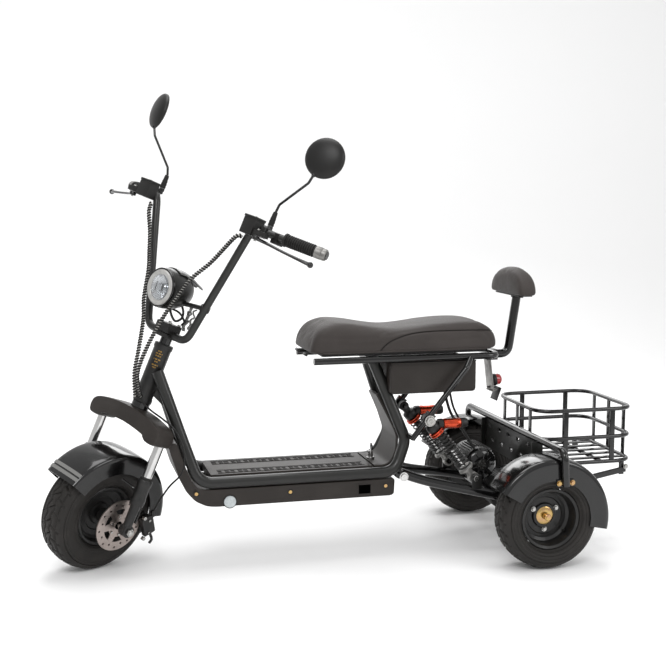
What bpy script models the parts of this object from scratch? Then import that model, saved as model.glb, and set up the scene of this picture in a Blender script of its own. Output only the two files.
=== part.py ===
"""Fat-tyre three-wheel electric scooter with a rear basket.

Metres, +Z up, front of the vehicle at -X, left side at -Y, ground at Z = 0. Positions on the frame are
measured back from a datum 20 mm ahead of the front axle. Positions on the steered front are
(back, side, along): square to the steering axis, sideways, and up along that axis from the ground.
"""

import math

import bmesh
import bpy
from mathutils import Matrix, Vector

# ---- Driving dimensions ----------------------------------------------------------------------------------
FRONT_X = -0.748            # the datum, placed so that the origin is under the middle of the vehicle
GAP = 0.0004                # clearance between touching pieces
REAR_X = 1.261              # rear axle
TRACK = 0.612               # between the middles of the rear tyres

RAKE = math.radians(22.4)   # the steering axis leans back
STEER_AT_REST = math.radians(34.9)
AXIS_X = -0.042             # where the steering axis meets the ground

FRONT_TYRE = (0.1655, 0.104)    # outer radius, width
REAR_TYRE = (0.147, 0.104)
RIM_LIP = 0.093                 # radius of the rim's lip on all three wheels
RIM_SEAT = 0.078

LEG_SIDE = 0.130            # fork legs, sideways from the middle
STANCHION = 0.0135          # radius
DISC_SIDE = 0.101
DISC_RADIUS = 0.075

TUBE = 0.0165               # radius of the main frame tubes
DECK_SIDE = 0.106           # main tubes, sideways along the deck
DECK_TOP = 0.2715
HULL_BOTTOM = 0.181

RAIL_SIDE = 0.111
RAIL_Z = 0.5855
RAIL_RADIUS = 0.010
BRACE_SIDE = 0.1375

PIVOT = (0.896, 0.239)          # swing arm pivot, back and up
SHOCK_TOP = (0.968, 0.405)
SHOCK_FOOT = (1.117, 0.223)
SHOCK_SIDE = 0.108
HOOP_X = 1.285
HOOP_TOP = 0.345
HOOP_SIDE = 0.375

BAR_RADIUS = 0.0110
GRIP_RADIUS = 0.0160
GRIP_IN = Vector((-0.0158, 0.298, 1.080))
GRIP_OUT = Vector((0.0290, 0.4185, 1.080))
MIRROR_RADIUS = 0.0550
MIRROR_TOE = math.radians(22)


# ---- Scene and materials -----------------------------------------------------------------------------------
def clear_scene():
    for old in list(bpy.data.objects):
        bpy.data.objects.remove(old, do_unlink=True)


def new_collection(name, hidden=False):
    collection = bpy.data.collections.new(name)
    bpy.context.scene.collection.children.link(collection)
    collection.hide_render = hidden
    return collection


clear_scene()
VEHICLE = new_collection("three_wheel_scooter")
CUTTERS = new_collection("cutters", hidden=True)

PAINT = {
    "black_paint": ((0.012, 0.012, 0.013), 0.22, 0.0),
    "black_plastic": ((0.030, 0.027, 0.025), 0.55, 0.0),
    "brown_leather": ((0.055, 0.047, 0.043), 0.60, 0.0),
    "rubber": ((0.020, 0.020, 0.020), 0.75, 0.0),
    "chrome": ((0.80, 0.80, 0.80), 0.15, 1.0),
    "steel": ((0.62, 0.57, 0.54), 0.32, 1.0),
    "aluminium": ((0.45, 0.45, 0.44), 0.42, 1.0),
    "red_lens": ((0.55, 0.02, 0.02), 0.20, 0.0),
    "clear_lens": ((0.75, 0.76, 0.78), 0.12, 0.0),
    "red_anodised": ((0.70, 0.10, 0.03), 0.25, 1.0),
    "cell_green": ((0.05, 0.16, 0.20), 0.50, 0.0),
}


def paint(obj, finish):
    colour, roughness, metallic = PAINT[finish]
    material = bpy.data.materials.new(obj.name)
    material.use_nodes = True
    shader = material.node_tree.nodes["Principled BSDF"]
    shader.inputs["Base Color"].default_value = (*colour, 1.0)
    shader.inputs["Roughness"].default_value = roughness
    shader.inputs["Metallic"].default_value = metallic
    obj.data.materials.clear()
    obj.data.materials.append(material)


def take(obj, collection):
    for old in list(obj.users_collection):
        old.objects.unlink(obj)
    collection.objects.link(obj)


def finish_piece(obj, name, finish, parent):
    """Names a piece, paints it, hangs it on its parent and files it with the vehicle."""
    obj.name = name
    obj.data.name = name
    paint(obj, finish)
    take(obj, VEHICLE)
    obj.parent = parent
    return obj


def smooth(obj, angle=35):
    obj.data.shade_smooth()
    obj.data.set_sharp_from_angle(angle=math.radians(angle))
    return obj


def helper(obj, parent=None):
    """Turns an object into a cutter, or a shape to be joined to another."""
    take(obj, CUTTERS)
    obj.hide_render = True
    obj.display_type = "WIRE"
    if parent is not None:
        obj.parent = parent
    return obj


def empty(name, parent=None, location=(0, 0, 0), rotation=(0, 0, 0)):
    obj = bpy.data.objects.new(name, None)
    VEHICLE.objects.link(obj)
    obj.parent = parent
    obj.location = location
    obj.rotation_euler = rotation
    return obj


# ---- Shapes ------------------------------------------------------------------------------------------------
def apply_scale(obj):
    obj.data.transform(Matrix.Diagonal((*obj.scale, 1.0)))
    obj.scale = (1, 1, 1)
    return obj


def box(size, at, bevel=0.0, turn=(0, 0, 0)):
    bpy.ops.mesh.primitive_cube_add(size=1, location=at, rotation=turn)
    obj = bpy.context.object
    obj.scale = size
    apply_scale(obj)
    if bevel:
        edges = obj.modifiers.new("rounded_edges", "BEVEL")
        edges.width = bevel
        edges.segments = 2
        edges.limit_method = "ANGLE"
    return obj


def cylinder(radius, depth, at, axis="Y", sides=20, top=None):
    turn = {"X": (0, math.pi / 2, 0), "Y": (-math.pi / 2, 0, 0), "Z": (0, 0, 0)}[axis]
    bpy.ops.mesh.primitive_cone_add(
        vertices=sides, radius1=radius, radius2=radius if top is None else top,
        depth=depth, location=at, rotation=turn,
    )
    return bpy.context.object


def rod(radius, start, end, sides=16, top=None):
    """A straight cylinder, or a cone, between two points."""
    start, end = Vector(start), Vector(end)
    along = end - start
    obj = cylinder(radius, along.length, (start + end) / 2, "Z", sides, top)
    obj.rotation_mode = "QUATERNION"
    obj.rotation_quaternion = Vector((0, 0, 1)).rotation_difference(along)
    return obj


def ball(radius, at, rows=8):
    bpy.ops.mesh.primitive_uv_sphere_add(segments=2 * rows, ring_count=rows, radius=radius, location=at)
    return bpy.context.object


def turned(profile, at=(0, 0, 0), steps=32, closed=False, axis="Y"):
    """A turned shape from a profile of (radius, along) points that runs down its outer side."""
    mesh = bpy.data.meshes.new("profile")
    points = [(radius, 0, along) for radius, along in profile]
    edges = [(i, i + 1) for i in range(len(points) - 1)]
    if closed:
        edges.append((len(points) - 1, 0))
    mesh.from_pydata(points, edges, [])
    obj = bpy.data.objects.new("turned", mesh)
    VEHICLE.objects.link(obj)
    obj.location = at
    if axis == "Y":
        obj.rotation_euler = (-math.pi / 2, 0, 0)
    screw = obj.modifiers.new("turn", "SCREW")
    screw.steps = steps
    screw.render_steps = steps
    screw.use_merge_vertices = True
    screw.merge_threshold = 0.00002
    screw.use_normal_calculate = False
    return obj


def curved(points, density=3):
    """Points of a smooth curve through the given ones."""
    points = [Vector(point) for point in points]
    ends = [2 * points[0] - points[1]] + points + [2 * points[-1] - points[-2]]
    found = []
    for i in range(1, len(ends) - 2):
        a, b, c, d = ends[i - 1:i + 3]
        for step in range(density):
            t = step / density
            found.append(0.5 * ((2 * b) + (c - a) * t + (2 * a - 5 * b + 4 * c - d) * t * t
                                + (3 * b - a - 3 * c + d) * t ** 3))
    return found + [points[-1]]


def rounded(points, radius, density=4):
    """The corners of a straight-sided path, rounded to arcs."""
    points = [Vector(point) for point in points]
    found = [points[0]]
    for before, corner, after in zip(points, points[1:], points[2:]):
        into, out = (before - corner).normalized(), (after - corner).normalized()
        half = into.angle(out) / 2
        reach = min(radius / math.tan(half), 0.48 * (before - corner).length, 0.48 * (after - corner).length)
        start, end = corner + into * reach, corner + out * reach
        for step in range(density + 1):
            t = step / density
            found.append(start * (1 - t) ** 2 + corner * 2 * t * (1 - t) + end * t * t)
    return found + [points[-1]]


def tube(points, radius, closed=False, around=2):
    """A round bar along a list of points."""
    data = bpy.data.curves.new("bar", "CURVE")
    data.dimensions = "3D"
    data.bevel_depth = radius
    data.bevel_resolution = around
    data.use_fill_caps = not closed
    spline = data.splines.new("POLY")
    spline.points.add(len(points) - 1)
    for place, point in zip(spline.points, points):
        place.co = (*point, 1.0)
    spline.use_cyclic_u = closed
    obj = bpy.data.objects.new("bar", data)
    VEHICLE.objects.link(obj)
    return obj


def outline(points, thickness, side=0.0):
    """A flat plate from an outline of (back, up) points, standing square to the side direction."""
    data = bpy.data.curves.new("outline", "CURVE")
    data.dimensions = "2D"
    data.fill_mode = "BOTH"
    data.extrude = thickness / 2
    spline = data.splines.new("POLY")
    spline.points.add(len(points) - 1)
    for place, point in zip(spline.points, points):
        place.co = (point[0], point[1], 0, 1)
    spline.use_cyclic_u = True
    obj = bpy.data.objects.new("outline", data)
    VEHICLE.objects.link(obj)
    obj.location = (0, side, 0)
    obj.rotation_euler = (math.pi / 2, 0, 0)
    return obj


def solid(curve):
    """The closed mesh of a curve object."""
    bpy.context.view_layer.update()
    evaluated = curve.evaluated_get(bpy.context.evaluated_depsgraph_get())
    mesh = bpy.data.meshes.new_from_object(evaluated)
    work = bmesh.new()
    work.from_mesh(mesh)
    bmesh.ops.remove_doubles(work, verts=work.verts, dist=0.00001)
    bmesh.ops.recalc_face_normals(work, faces=work.faces)
    work.to_mesh(mesh)
    work.free()
    obj = bpy.data.objects.new(curve.name, mesh)
    VEHICLE.objects.link(obj)
    obj.matrix_world = curve.matrix_world
    bpy.data.objects.remove(curve)
    return obj


def boolean(obj, other, operation, parent=None):
    step = obj.modifiers.new(operation.lower(), "BOOLEAN")
    step.operation = operation
    step.solver = "EXACT"
    step.object = helper(other, parent)
    return obj


def joined(obj, others, parent=None):
    for other in others:
        boolean(obj, other, "UNION", parent)
    return obj


def cut(obj, others, parent=None):
    for other in others:
        boolean(obj, other, "DIFFERENCE", parent)
    return obj


def arc(radius, start, end, steps, middle=(0, 0)):
    """Points of (across, up) on an arc, angles in degrees from +X towards +Z."""
    angles = [math.radians(start + (end - start) * i / steps) for i in range(steps + 1)]
    return [(middle[0] + radius * math.cos(a), middle[1] + radius * math.sin(a)) for a in angles]


def mirrored(points, side):
    """Points with their sideways value on the given side, -1 for left and 1 for right."""
    return [Vector((p[0], side * p[1], p[2])) for p in points]


# ---- Places that move --------------------------------------------------------------------------------------
ORIGIN = empty("vehicle_origin", location=(FRONT_X, 0, 0))
STEERING_AXIS = empty("steering_axis", ORIGIN, (AXIS_X, 0, 0), (0, RAKE, 0))
STEERED = empty("steered_front", STEERING_AXIS, rotation=(0, 0, STEER_AT_REST))

AXLE_BACK = -0.006
REAR_AXLE = empty("rear_wheel_axis", ORIGIN, (REAR_X, 0, REAR_TYRE[0]))
SIDES = {"left": -1, "right": 1}


# ---- Wheels ------------------------------------------------------------------------------------------------
FRONT_RIM_HALF = 0.038
REAR_RIM_HALF = 0.038


def tyre_profile(radius, width, bead_half):
    """A closed tyre section: crowned tread, square shoulders, full side walls and beads on the rim."""
    half = width / 2
    bead = RIM_LIP - 0.004
    tread = [(radius - 0.0100, half * 0.80), (radius - 0.0022, half * 0.45), (radius, 0.0),
             (radius - 0.0022, -half * 0.45), (radius - 0.0100, -half * 0.80)]
    lower = [(radius - 0.026, -half * 0.985), ((radius + bead) / 2, -half), (bead + 0.006, -half * 0.86)]
    inner = [(bead, -bead_half), (bead, bead_half)]
    upper = [(r, -z) for r, z in reversed(lower)]
    return tread + lower + inner + upper


def front_axle_height():
    """How far up the steering axis the front axle sits, so that the turned tyre just meets the ground."""
    lean = math.sin(RAKE) * math.sin(STEER_AT_REST)
    reach = max(radius * math.sqrt(1 - lean ** 2) + abs(side) * lean
                for radius, side in tyre_profile(*FRONT_TYRE, FRONT_RIM_HALF))
    return (reach + AXLE_BACK * math.cos(STEER_AT_REST) * math.sin(RAKE)) / math.cos(RAKE)


def rim_profile(half, hub_face, hub_radius=0.030, bore=0.0105):
    """A closed rim section: barrel, lips, and a disc with its hub, dished in from the outer side."""
    lip = RIM_LIP - 0.005
    outer_side = [(lip, half), (lip, -half), (RIM_SEAT - 0.003, -half)]
    disc = [(RIM_SEAT - 0.005, hub_face - 0.004), (hub_radius, hub_face - 0.004), (hub_radius, -half * 0.6),
            (bore, -half * 0.6), (bore, hub_face + 0.006), (hub_radius, hub_face + 0.006),
            (RIM_SEAT - 0.005, hub_face + 0.002)]
    return outer_side + disc + [(RIM_SEAT - 0.003, half)]


AXLE_ALONG = front_axle_height()
FRONT_AXLE = empty("front_wheel_axis", STEERED, (AXLE_BACK, 0, AXLE_ALONG), (0, -RAKE, 0))


def build_front_wheel():
    half = FRONT_RIM_HALF
    tyre = turned(tyre_profile(*FRONT_TYRE, half), steps=28, closed=True)
    finish_piece(smooth(tyre, 60), "front_tyre", "rubber", FRONT_AXLE)
    rim = turned(rim_profile(half, 0.010), steps=20, closed=True)
    finish_piece(smooth(rim), "front_rim", "black_paint", FRONT_AXLE)
    thick = 0.004
    section = [(DISC_RADIUS, thick / 2), (DISC_RADIUS, -thick / 2), (0.022, -thick / 2),
               (0.022, -0.0740), (0.0105, -0.0740), (0.0105, 0.004), (0.022, 0.004), (0.022, thick / 2)]
    disc = turned([(r, -z) for r, z in reversed(section)], (0, -DISC_SIDE, 0), 24, closed=True)
    finish_piece(smooth(disc), "brake_disc", "steel", FRONT_AXLE)


def build_rear_wheels():
    half = REAR_RIM_HALF
    for name, side in SIDES.items():
        middle = (0, side * TRACK / 2, 0)
        tyre = turned(tyre_profile(*REAR_TYRE, half), middle, 26, closed=True)
        finish_piece(smooth(tyre, 60), f"rear_tyre_{name}", "rubber", REAR_AXLE)
        section = rim_profile(half, -0.010, hub_radius=0.034, bore=0.0105)
        rim = turned(section, middle, 20, closed=True)
        if side < 0:
            rim.rotation_euler = (math.pi / 2, 0, 0)
        finish_piece(smooth(rim), f"rear_rim_{name}", "black_paint", REAR_AXLE)


# ---- Fork --------------------------------------------------------------------------------------------------
FORK_BACK = 0.0
BLADE_OUTSET = 0.006        # the flat lower blades stand this far outside the round legs
COLLAR_TOP = 0.692
HEAD_LOW, HEAD_HIGH = 0.512, 0.688


def build_fork_upper():
    beam = box((0.036, 0.290, 0.022), (FORK_BACK - 0.002, 0, 0.4575), 0.004)
    steerer = cylinder(0.0165, COLLAR_TOP + 0.0145 - 0.450, (0, 0, (COLLAR_TOP + 0.0145 + 0.450) / 2), "Z",
                       20)
    race = cylinder(0.0255, 0.040, (0, 0, 0.4910), "Z", 24)
    crown = joined(beam, [steerer, race], STEERED)
    holes = [cylinder(STANCHION + GAP, 0.1, (FORK_BACK, side * LEG_SIDE, 0.4575), "Z", 24) for side in (-1,
                                                                                                        1)]
    finish_piece(cut(crown, holes, STEERED), "fork_crown", "black_paint", STEERED)
    for name, side in SIDES.items():
        leg = cylinder(STANCHION, 0.150, (FORK_BACK, side * LEG_SIDE, 0.3920), "Z", 24)
        finish_piece(smooth(leg), f"stanchion_{name}", "chrome", STEERED)


def build_crown_cover():
    """An arched plastic cover over the fork crown, open below and behind, with deep ends over the legs."""
    half = 0.154
    top = [(-half, 0.452), (-0.146, 0.468), (-0.120, 0.480), (-0.070, 0.490), (0.0, 0.494),
           (0.070, 0.490), (0.120, 0.480), (0.146, 0.468), (half, 0.452)]
    under = [(half, 0.432), (0.147, 0.4240), (0.106, 0.4240), (0.088, 0.438), (0.0, 0.446),
             (-0.088, 0.438), (-0.106, 0.4240), (-0.147, 0.4240), (-half, 0.432)]
    cover = solid(outline(top + under, 0.064))
    cover.rotation_euler = (math.pi / 2, 0, math.pi / 2)
    cover.location = (-0.010, 0, 0)
    pocket = box((0.040 + 0.05, 0.291, 0.022 + 2 * GAP), (-0.002 + 0.0245, 0, 0.4575))
    shaft = cylinder(0.0265, 0.2, (0, 0, 0.5), "Z", 24)
    legs = [cylinder(STANCHION + 0.0010, 0.3, (0, side * LEG_SIDE, 0.40), "Z", 24) for side in (-1, 1)]
    cut(cover, [pocket, shaft] + legs, STEERED)
    finish_piece(cover, "crown_cover", "black_plastic", STEERED)


def build_fork_lower():
    for name, side in SIDES.items():
        body = cylinder(0.0215, 0.064, (FORK_BACK, side * LEG_SIDE, 0.2930), "Z", 20, top=0.0190)
        leg_at = LEG_SIDE + BLADE_OUTSET
        blade = rod(0.0205, (FORK_BACK - 0.004, side * leg_at, 0.2640),
                    (AXLE_BACK - 0.004, side * leg_at, AXLE_ALONG),
                    12, 0.0135)
        boss = cylinder(0.0180, 0.028, (AXLE_BACK, side * leg_at, AXLE_ALONG), "Y", 16)
        leg = joined(body, [blade, boss], STEERED)
        bore = cylinder(STANCHION + GAP, 0.060, (FORK_BACK, side * LEG_SIDE, 0.3000), "Z", 24)
        axle_hole = cylinder(0.0075 + GAP, 0.060, (AXLE_BACK, side * leg_at, AXLE_ALONG), "Y", 20)
        finish_piece(cut(leg, [bore, axle_hole], STEERED), f"fork_slider_{name}", "black_paint", STEERED)
    axle = turned([(0, 0.163), (0.0075, 0.163), (0.0075, -0.1508), (0.0120, -0.1508), (0.0120, -0.1600),
                   (0, -0.1600)],
                  steps=20)
    finish_piece(smooth(axle), "front_axle", "chrome", FRONT_AXLE)


def fender_shell(outer, thick, half, skirt, start, end, steps, lips=(True, True)):
    """A wheel arch: a crowned band round an axle, with skirts that reach in on the chosen sides."""
    rows = []
    left = [(outer - skirt, -half), (outer - 0.018, -half)] if lips[0] else []
    right = [(outer - 0.018, half), (outer - skirt, half)] if lips[1] else []
    section = left + [(outer - 0.004, -half * 0.86), (outer, -half * 0.40), (outer, half * 0.40),
                      (outer - 0.004, half * 0.86)] + right
    for i in range(steps + 1):
        a = math.radians(start + (end - start) * i / steps)
        rows.append([(r * math.cos(a), y, r * math.sin(a)) for r, y in section])
    width = len(section)
    points = [point for row in rows for point in row]
    faces = [(i * width + j, i * width + j + 1, (i + 1) * width + j + 1, (i + 1) * width + j)
             for i in range(steps) for j in range(width - 1)]
    mesh = bpy.data.meshes.new("arch")
    mesh.from_pydata(points, [], faces)
    work = bmesh.new()
    work.from_mesh(mesh)
    bmesh.ops.recalc_face_normals(work, faces=work.faces)
    work.to_mesh(mesh)
    work.free()
    obj = bpy.data.objects.new("arch", mesh)
    VEHICLE.objects.link(obj)
    sheet = obj.modifiers.new("sheet", "SOLIDIFY")
    sheet.thickness = thick
    sheet.offset = 0
    sheet.use_even_offset = True
    return obj


def build_front_fender():
    fender = fender_shell(0.194, 0.003, 0.0660, 0.050, -12, 133, 14)
    finish_piece(smooth(fender, 50), "front_fender", "black_paint", FRONT_AXLE)


def build_caliper():
    """A brake caliper that straddles the rear edge of the disc, with a lug that reaches back past the leg."""
    angle = math.radians(-14)
    middle = (0.0880 * math.cos(angle), -DISC_SIDE, 0.0880 * math.sin(angle))
    body = box((0.054, 0.044, 0.072), middle, 0.005, (0, -0.25, 0))
    slot = box((0.080, 0.0060, 0.120), (middle[0] - 0.026, -DISC_SIDE, middle[2]), 0, (0, -0.25, 0))
    leg_room = box((0.060, 0.060, 0.30), (0.010, -LEG_SIDE + 0.004, 0.030), 0, (0, 0.39, 0))
    finish_piece(cut(body, [slot, leg_room], FRONT_AXLE), "brake_caliper", "black_paint", FRONT_AXLE)


# ---- Handlebar ---------------------------------------------------------------------------------------------
BAR_MIDDLE = (-0.010, 0.0, 0.722)
BAR_CORNER = (-0.050, 0.2060, 1.080)
RISER = [(-0.014, 0.093, 0.745), (-0.0262, 0.132, 0.850), (-0.0425, 0.183, 1.013)]


def bar_points():
    half = rounded([BAR_MIDDLE, (-0.008, 0.084, 0.718), BAR_CORNER, GRIP_OUT], 0.040, 5)
    left = [Vector((p[0], -p[1], p[2])) for p in reversed(half)]
    return left + half[1:]


def build_handlebar():
    bar = solid(tube(bar_points(), BAR_RADIUS, around=2))
    low = box((0.052, 0.060, 0.0125), (-0.006, 0, 0.7130), 0.002)
    high = box((0.052, 0.060, 0.0300), (-0.010, 0, 0.7350), 0.004)
    clamp = joined(bar, [low, high], STEERED)
    finish_piece(clamp, "handlebar", "black_paint", STEERED)


def grip_axis(side):
    return mirrored([GRIP_IN, GRIP_OUT], side)


def sleeve(start, end, radius, bore, sides=20):
    """A round sleeve with a hole, between two points."""
    start, end = Vector(start), Vector(end)
    length = (end - start).length
    obj = turned([(radius, length), (radius, 0), (bore, 0), (bore, length)], start, sides, closed=True,
                 axis="Z")
    obj.rotation_mode = "QUATERNION"
    obj.rotation_quaternion = Vector((0, 0, 1)).rotation_difference(end - start)
    return obj


def build_grips():
    for name, side in SIDES.items():
        inner, outer = grip_axis(side)
        end = inner + (outer - inner) * 0.985
        grip = sleeve(inner, end, GRIP_RADIUS, BAR_RADIUS + 0.0006)
        label = "grip_left" if side < 0 else "throttle_grip"
        finish_piece(smooth(grip), label, "rubber", STEERED)


LEVER_PATH = [(-0.0870, 0.264, 1.0545), (-0.0720, 0.300, 1.0510), (-0.0600, 0.345, 1.0460),
              (-0.0450, 0.395, 1.0420), (-0.0300, 0.426, 1.0400)]


def build_brake_controls():
    for name, side in SIDES.items():
        path = mirrored(curved(LEVER_PATH, 2), side)
        blade = solid(tube(path, 0.0048, around=1))
        knob = ball(0.0085, path[-1], 5)
        hub = cylinder(0.0100, 0.011, path[0], "Z", 16)
        lever = joined(blade, [knob, hub], STEERED)
        finish_piece(lever, f"brake_lever_{name}", "black_paint", STEERED)
        tank = box((0.050, 0.056, 0.042), (-0.0700, side * 0.2240, 1.0790))
        arm = box((0.020, 0.052, 0.016), (-0.0800, side * 0.2660, 1.0690))
        neck = box((0.036, 0.026, 0.024), (-0.0480, side * 0.2380, 1.0780))
        ring = cylinder(0.0185, 0.024, (-0.0390, side * 0.2380, 1.0800), "Y", 16)
        cylinder_body = joined(tank, [arm, neck, ring], STEERED)
        bend = rounded([(-0.030, 0.140, 0.870), BAR_CORNER, GRIP_OUT], 0.040, 5)
        bar_room = solid(tube(mirrored(bend, side), BAR_RADIUS + 0.0020))
        finish_piece(cut(cylinder_body, [bar_room], STEERED), f"master_cylinder_{name}", "black_plastic",
                     STEERED)


MIRROR_FOOT = Vector((-0.0180, 0.2320, 1.1015))
MIRROR_BALL = Vector((-0.0450, 0.3350, 1.2640))
MIRROR_HEAD = Vector((-0.0430, 0.3470, 1.3150))


def build_mirrors():
    path = [MIRROR_FOOT, MIRROR_FOOT + Vector((0, 0, 0.042)), MIRROR_FOOT + Vector((-0.004, 0.006, 0.062)),
            (-0.0400, 0.3240, 1.2400), MIRROR_BALL]
    for name, side in SIDES.items():
        stem = solid(tube(mirrored(rounded(path, 0.014, 2), side), 0.0040, around=1))
        boot = rod(0.0085, mirrored([MIRROR_FOOT], side)[0],
                   mirrored([MIRROR_FOOT + Vector((0, 0, 0.040))], side)[0], 16, 0.0065)
        knuckle = ball(0.0070, mirrored([MIRROR_BALL], side)[0], 5)
        finish_piece(joined(stem, [boot, knuckle], STEERED), f"mirror_stem_{name}", "black_paint", STEERED)
        head = turned([(0, 0.0150), (0.022, 0.0140), (0.042, 0.0090), (0.053, 0.0010),
                       (MIRROR_RADIUS, -0.0050),
                       (0.054, -0.0080), (0, -0.0080)], (0, 0, 0), 20, axis="Z")
        place = empty(f"mirror_place_{name}", STEERED, mirrored([MIRROR_HEAD], side)[0],
                      (0, 0, -side * MIRROR_TOE))
        head.rotation_euler = (0, -math.pi / 2, 0)
        room = ball(0.0078, mirrored([MIRROR_BALL], side)[0], 8)
        cut(head, [room], STEERED)
        finish_piece(smooth(head), f"mirror_head_{name}", "black_plastic", place)


LAMP = Vector((-0.0930, 0, 0.8360))
LAMP_TILT = math.radians(-7)


def build_headlight():
    place = empty("lamp_place", STEERED, LAMP, (0, LAMP_TILT, 0))
    bowl = turned([(0.0, 0.148), (0.020, 0.146), (0.038, 0.135), (0.052, 0.100), (0.0575, 0.050),
                   (0.0560, 0.006),
                   (0.0535, 0.0), (0.0495, 0.0), (0.0495, 0.010), (0.0, 0.010)], (0, 0, 0), 20, axis="Z")
    bowl.rotation_euler = (0, math.pi / 2, 0)
    bowl.parent = place
    # The bowl's flat back and its two short arms reach the bars.
    arms = box((0.022, 0.212, 0.016), (0.050, 0, 0.022))
    arms.parent = place
    lamp = joined(bowl, [arms])
    lamp.modifiers[-1].object.parent = place
    bars = [solid(tube(mirrored(RISER, side), BAR_RADIUS + 0.0008)) for side in (-1, 1)]
    cut(lamp, bars, STEERED)
    finish_piece(smooth(lamp, 30), "headlight_bowl", "black_paint", place)
    lens = turned([(0.0, 0.0085), (0.0485, 0.0085), (0.0490, -0.004), (0.0440, -0.0070), (0.0360, -0.0040),
                   (0.0, -0.0070)], (0, 0, 0), 20, axis="Z")
    lens.rotation_euler = (0, math.pi / 2, 0)
    finish_piece(smooth(lens, 30), "headlight_lens", "clear_lens", place)


# ---- Frame -------------------------------------------------------------------------------------------------
def on_axis(along, back=0.0, side=0.0):
    """A point given on the steering axis's own directions, on the frame."""
    x = AXIS_X + back * math.cos(RAKE) + along * math.sin(RAKE)
    return Vector((x, side, along * math.cos(RAKE) - back * math.sin(RAKE)))


FRAME_PATH = [(0.1960, 0.0300, 0.5620), (0.2575, 0.0840, 0.3700), (0.2980, DECK_SIDE, 0.2515),
              (0.8740, DECK_SIDE, 0.2515), (0.9120, 0.0860, 0.3420), (0.8230, 0.0370, 0.5780)]
SEAT_CROSS_X = 0.822


def main_tube(side, radius):
    return solid(tube(rounded(mirrored(FRAME_PATH, side), 0.060, 4), radius))


def main_tube_rooms():
    """Cutters that clear a neighbour from both main tubes."""
    return [main_tube(side, TUBE + 0.0009) for side in (-1, 1)]


def build_head_tube():
    low, high = on_axis(HEAD_LOW), on_axis(HEAD_HIGH)
    head = sleeve(low, high, 0.0255, 0.0172, 24)
    finish_piece(smooth(head), "head_tube", "black_paint", ORIGIN)


def build_main_tubes():
    """Two bent tubes, each from the head tube down, along the deck and up to the seat rail."""
    for name, side in SIDES.items():
        main = main_tube(side, TUBE)
        neck = rod(0.0259, on_axis(0.45), on_axis(0.70), 24)
        rail = box((0.060, 0.200, 0.060), (SEAT_CROSS_X, 0, RAIL_Z - RAIL_RADIUS - GAP + 0.030))
        middle = box((0.2, 0.02, 0.3), (0.2, side * (-0.01 + GAP), 0.5))
        finish_piece(cut(main, [neck, rail, middle], ORIGIN), f"frame_tube_{name}", "black_paint", ORIGIN)


def build_seat_subframe():
    """The two seat rails with their cross bars, the braces down to the shock mounts, and the tail bracket."""
    front, rear = 0.629, 1.190
    corners = [(front, -RAIL_SIDE, RAIL_Z), (rear, -RAIL_SIDE, RAIL_Z), (rear, RAIL_SIDE, RAIL_Z),
               (front, RAIL_SIDE, RAIL_Z)]
    rails = solid(tube(rounded(corners, 0.035, 4), RAIL_RADIUS))
    pieces = [box((0.040, 2 * RAIL_SIDE, 0.012), (SEAT_CROSS_X, 0, RAIL_Z - RAIL_RADIUS + 0.006))]
    for side in (-1, 1):
        top = (1.100, side * (RAIL_SIDE + 0.006), RAIL_Z - 0.004)
        foot = (0.9150, side * BRACE_SIDE, 0.3520)
        bend = (1.080, side * BRACE_SIDE, 0.5550)
        pieces.append(solid(tube(rounded([top, bend, foot], 0.02, 2), 0.0085)))
        pieces.append(rod(0.0080, (0.9180, side * 0.1075, 0.3560), (0.9180, side * BRACE_SIDE, 0.3560), 12))
        # The shock's upper bolt crosses the brace and carries the shock on its inner end.
        pieces.append(rod(0.0060, (SHOCK_TOP[0], side * 0.0830, SHOCK_TOP[1]),
                          (SHOCK_TOP[0], side * (BRACE_SIDE + 0.016), SHOCK_TOP[1]), 12))
        pieces.append(box((0.030, 0.010, 0.034), (0.9655, side * (BRACE_SIDE - 0.002), 0.4120), 0,
                          (0, 0.6, 0)))
    socket = box((0.034, 0.060, 0.034), (1.206, 0, 0.5750), 0.003)
    plate = box((0.004, 0.052, 0.110), (1.2060, 0, 0.5130), 0, (0, -0.12, 0))
    pieces += [socket, plate]
    frame = joined(rails, pieces, ORIGIN)
    post_hole = cylinder(0.0140, 0.050, (1.215, 0, 0.5740), "X", 20)
    finish_piece(cut(frame, [post_hole], ORIGIN), "seat_subframe", "black_paint", ORIGIN)


HULL_OUTLINE = [(0.214, 0.366), (0.224, 0.330), (0.242, 0.272), (0.262, 0.230), (0.288, 0.200),
                (0.320, 0.184),
                (0.345, HULL_BOTTOM), (0.862, HULL_BOTTOM), (0.872, 0.186), (0.874, 0.228), (0.868, 0.2333),
                (0.335, 0.2333), (0.306, 0.2345), (0.286, 0.2450), (0.271, 0.2720), (0.252, 0.330),
                (0.241, 0.366)]


HULL_TAPER = 2.2            # share of the width lost per metre of height, above the deck


def build_lower_hull():
    """The moulded belly under the deck, turned up at the front, hollow for the battery."""
    hull = solid(outline(HULL_OUTLINE, 0.217))
    for vertex in hull.data.vertices:
        # The outline stands on edge, so its second value is height and its third is sideways.
        vertex.co.z *= 1 - HULL_TAPER * max(0, vertex.co.y - DECK_TOP)
    hollow = box((0.500, 0.195, 0.060), (0.595, 0, HULL_BOTTOM + 0.003 + 0.030))
    window = box((0.034, 0.030, 0.024), (0.781, -0.108, 0.2060))
    finish_piece(cut(hull, [hollow, window] + main_tube_rooms(), ORIGIN), "lower_hull", "black_plastic",
                 ORIGIN)
    pack = box((0.330, 0.170, 0.044), (0.540, 0, 0.2075), 0.003)
    finish_piece(pack, "battery_pack", "cell_green", ORIGIN)


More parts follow.
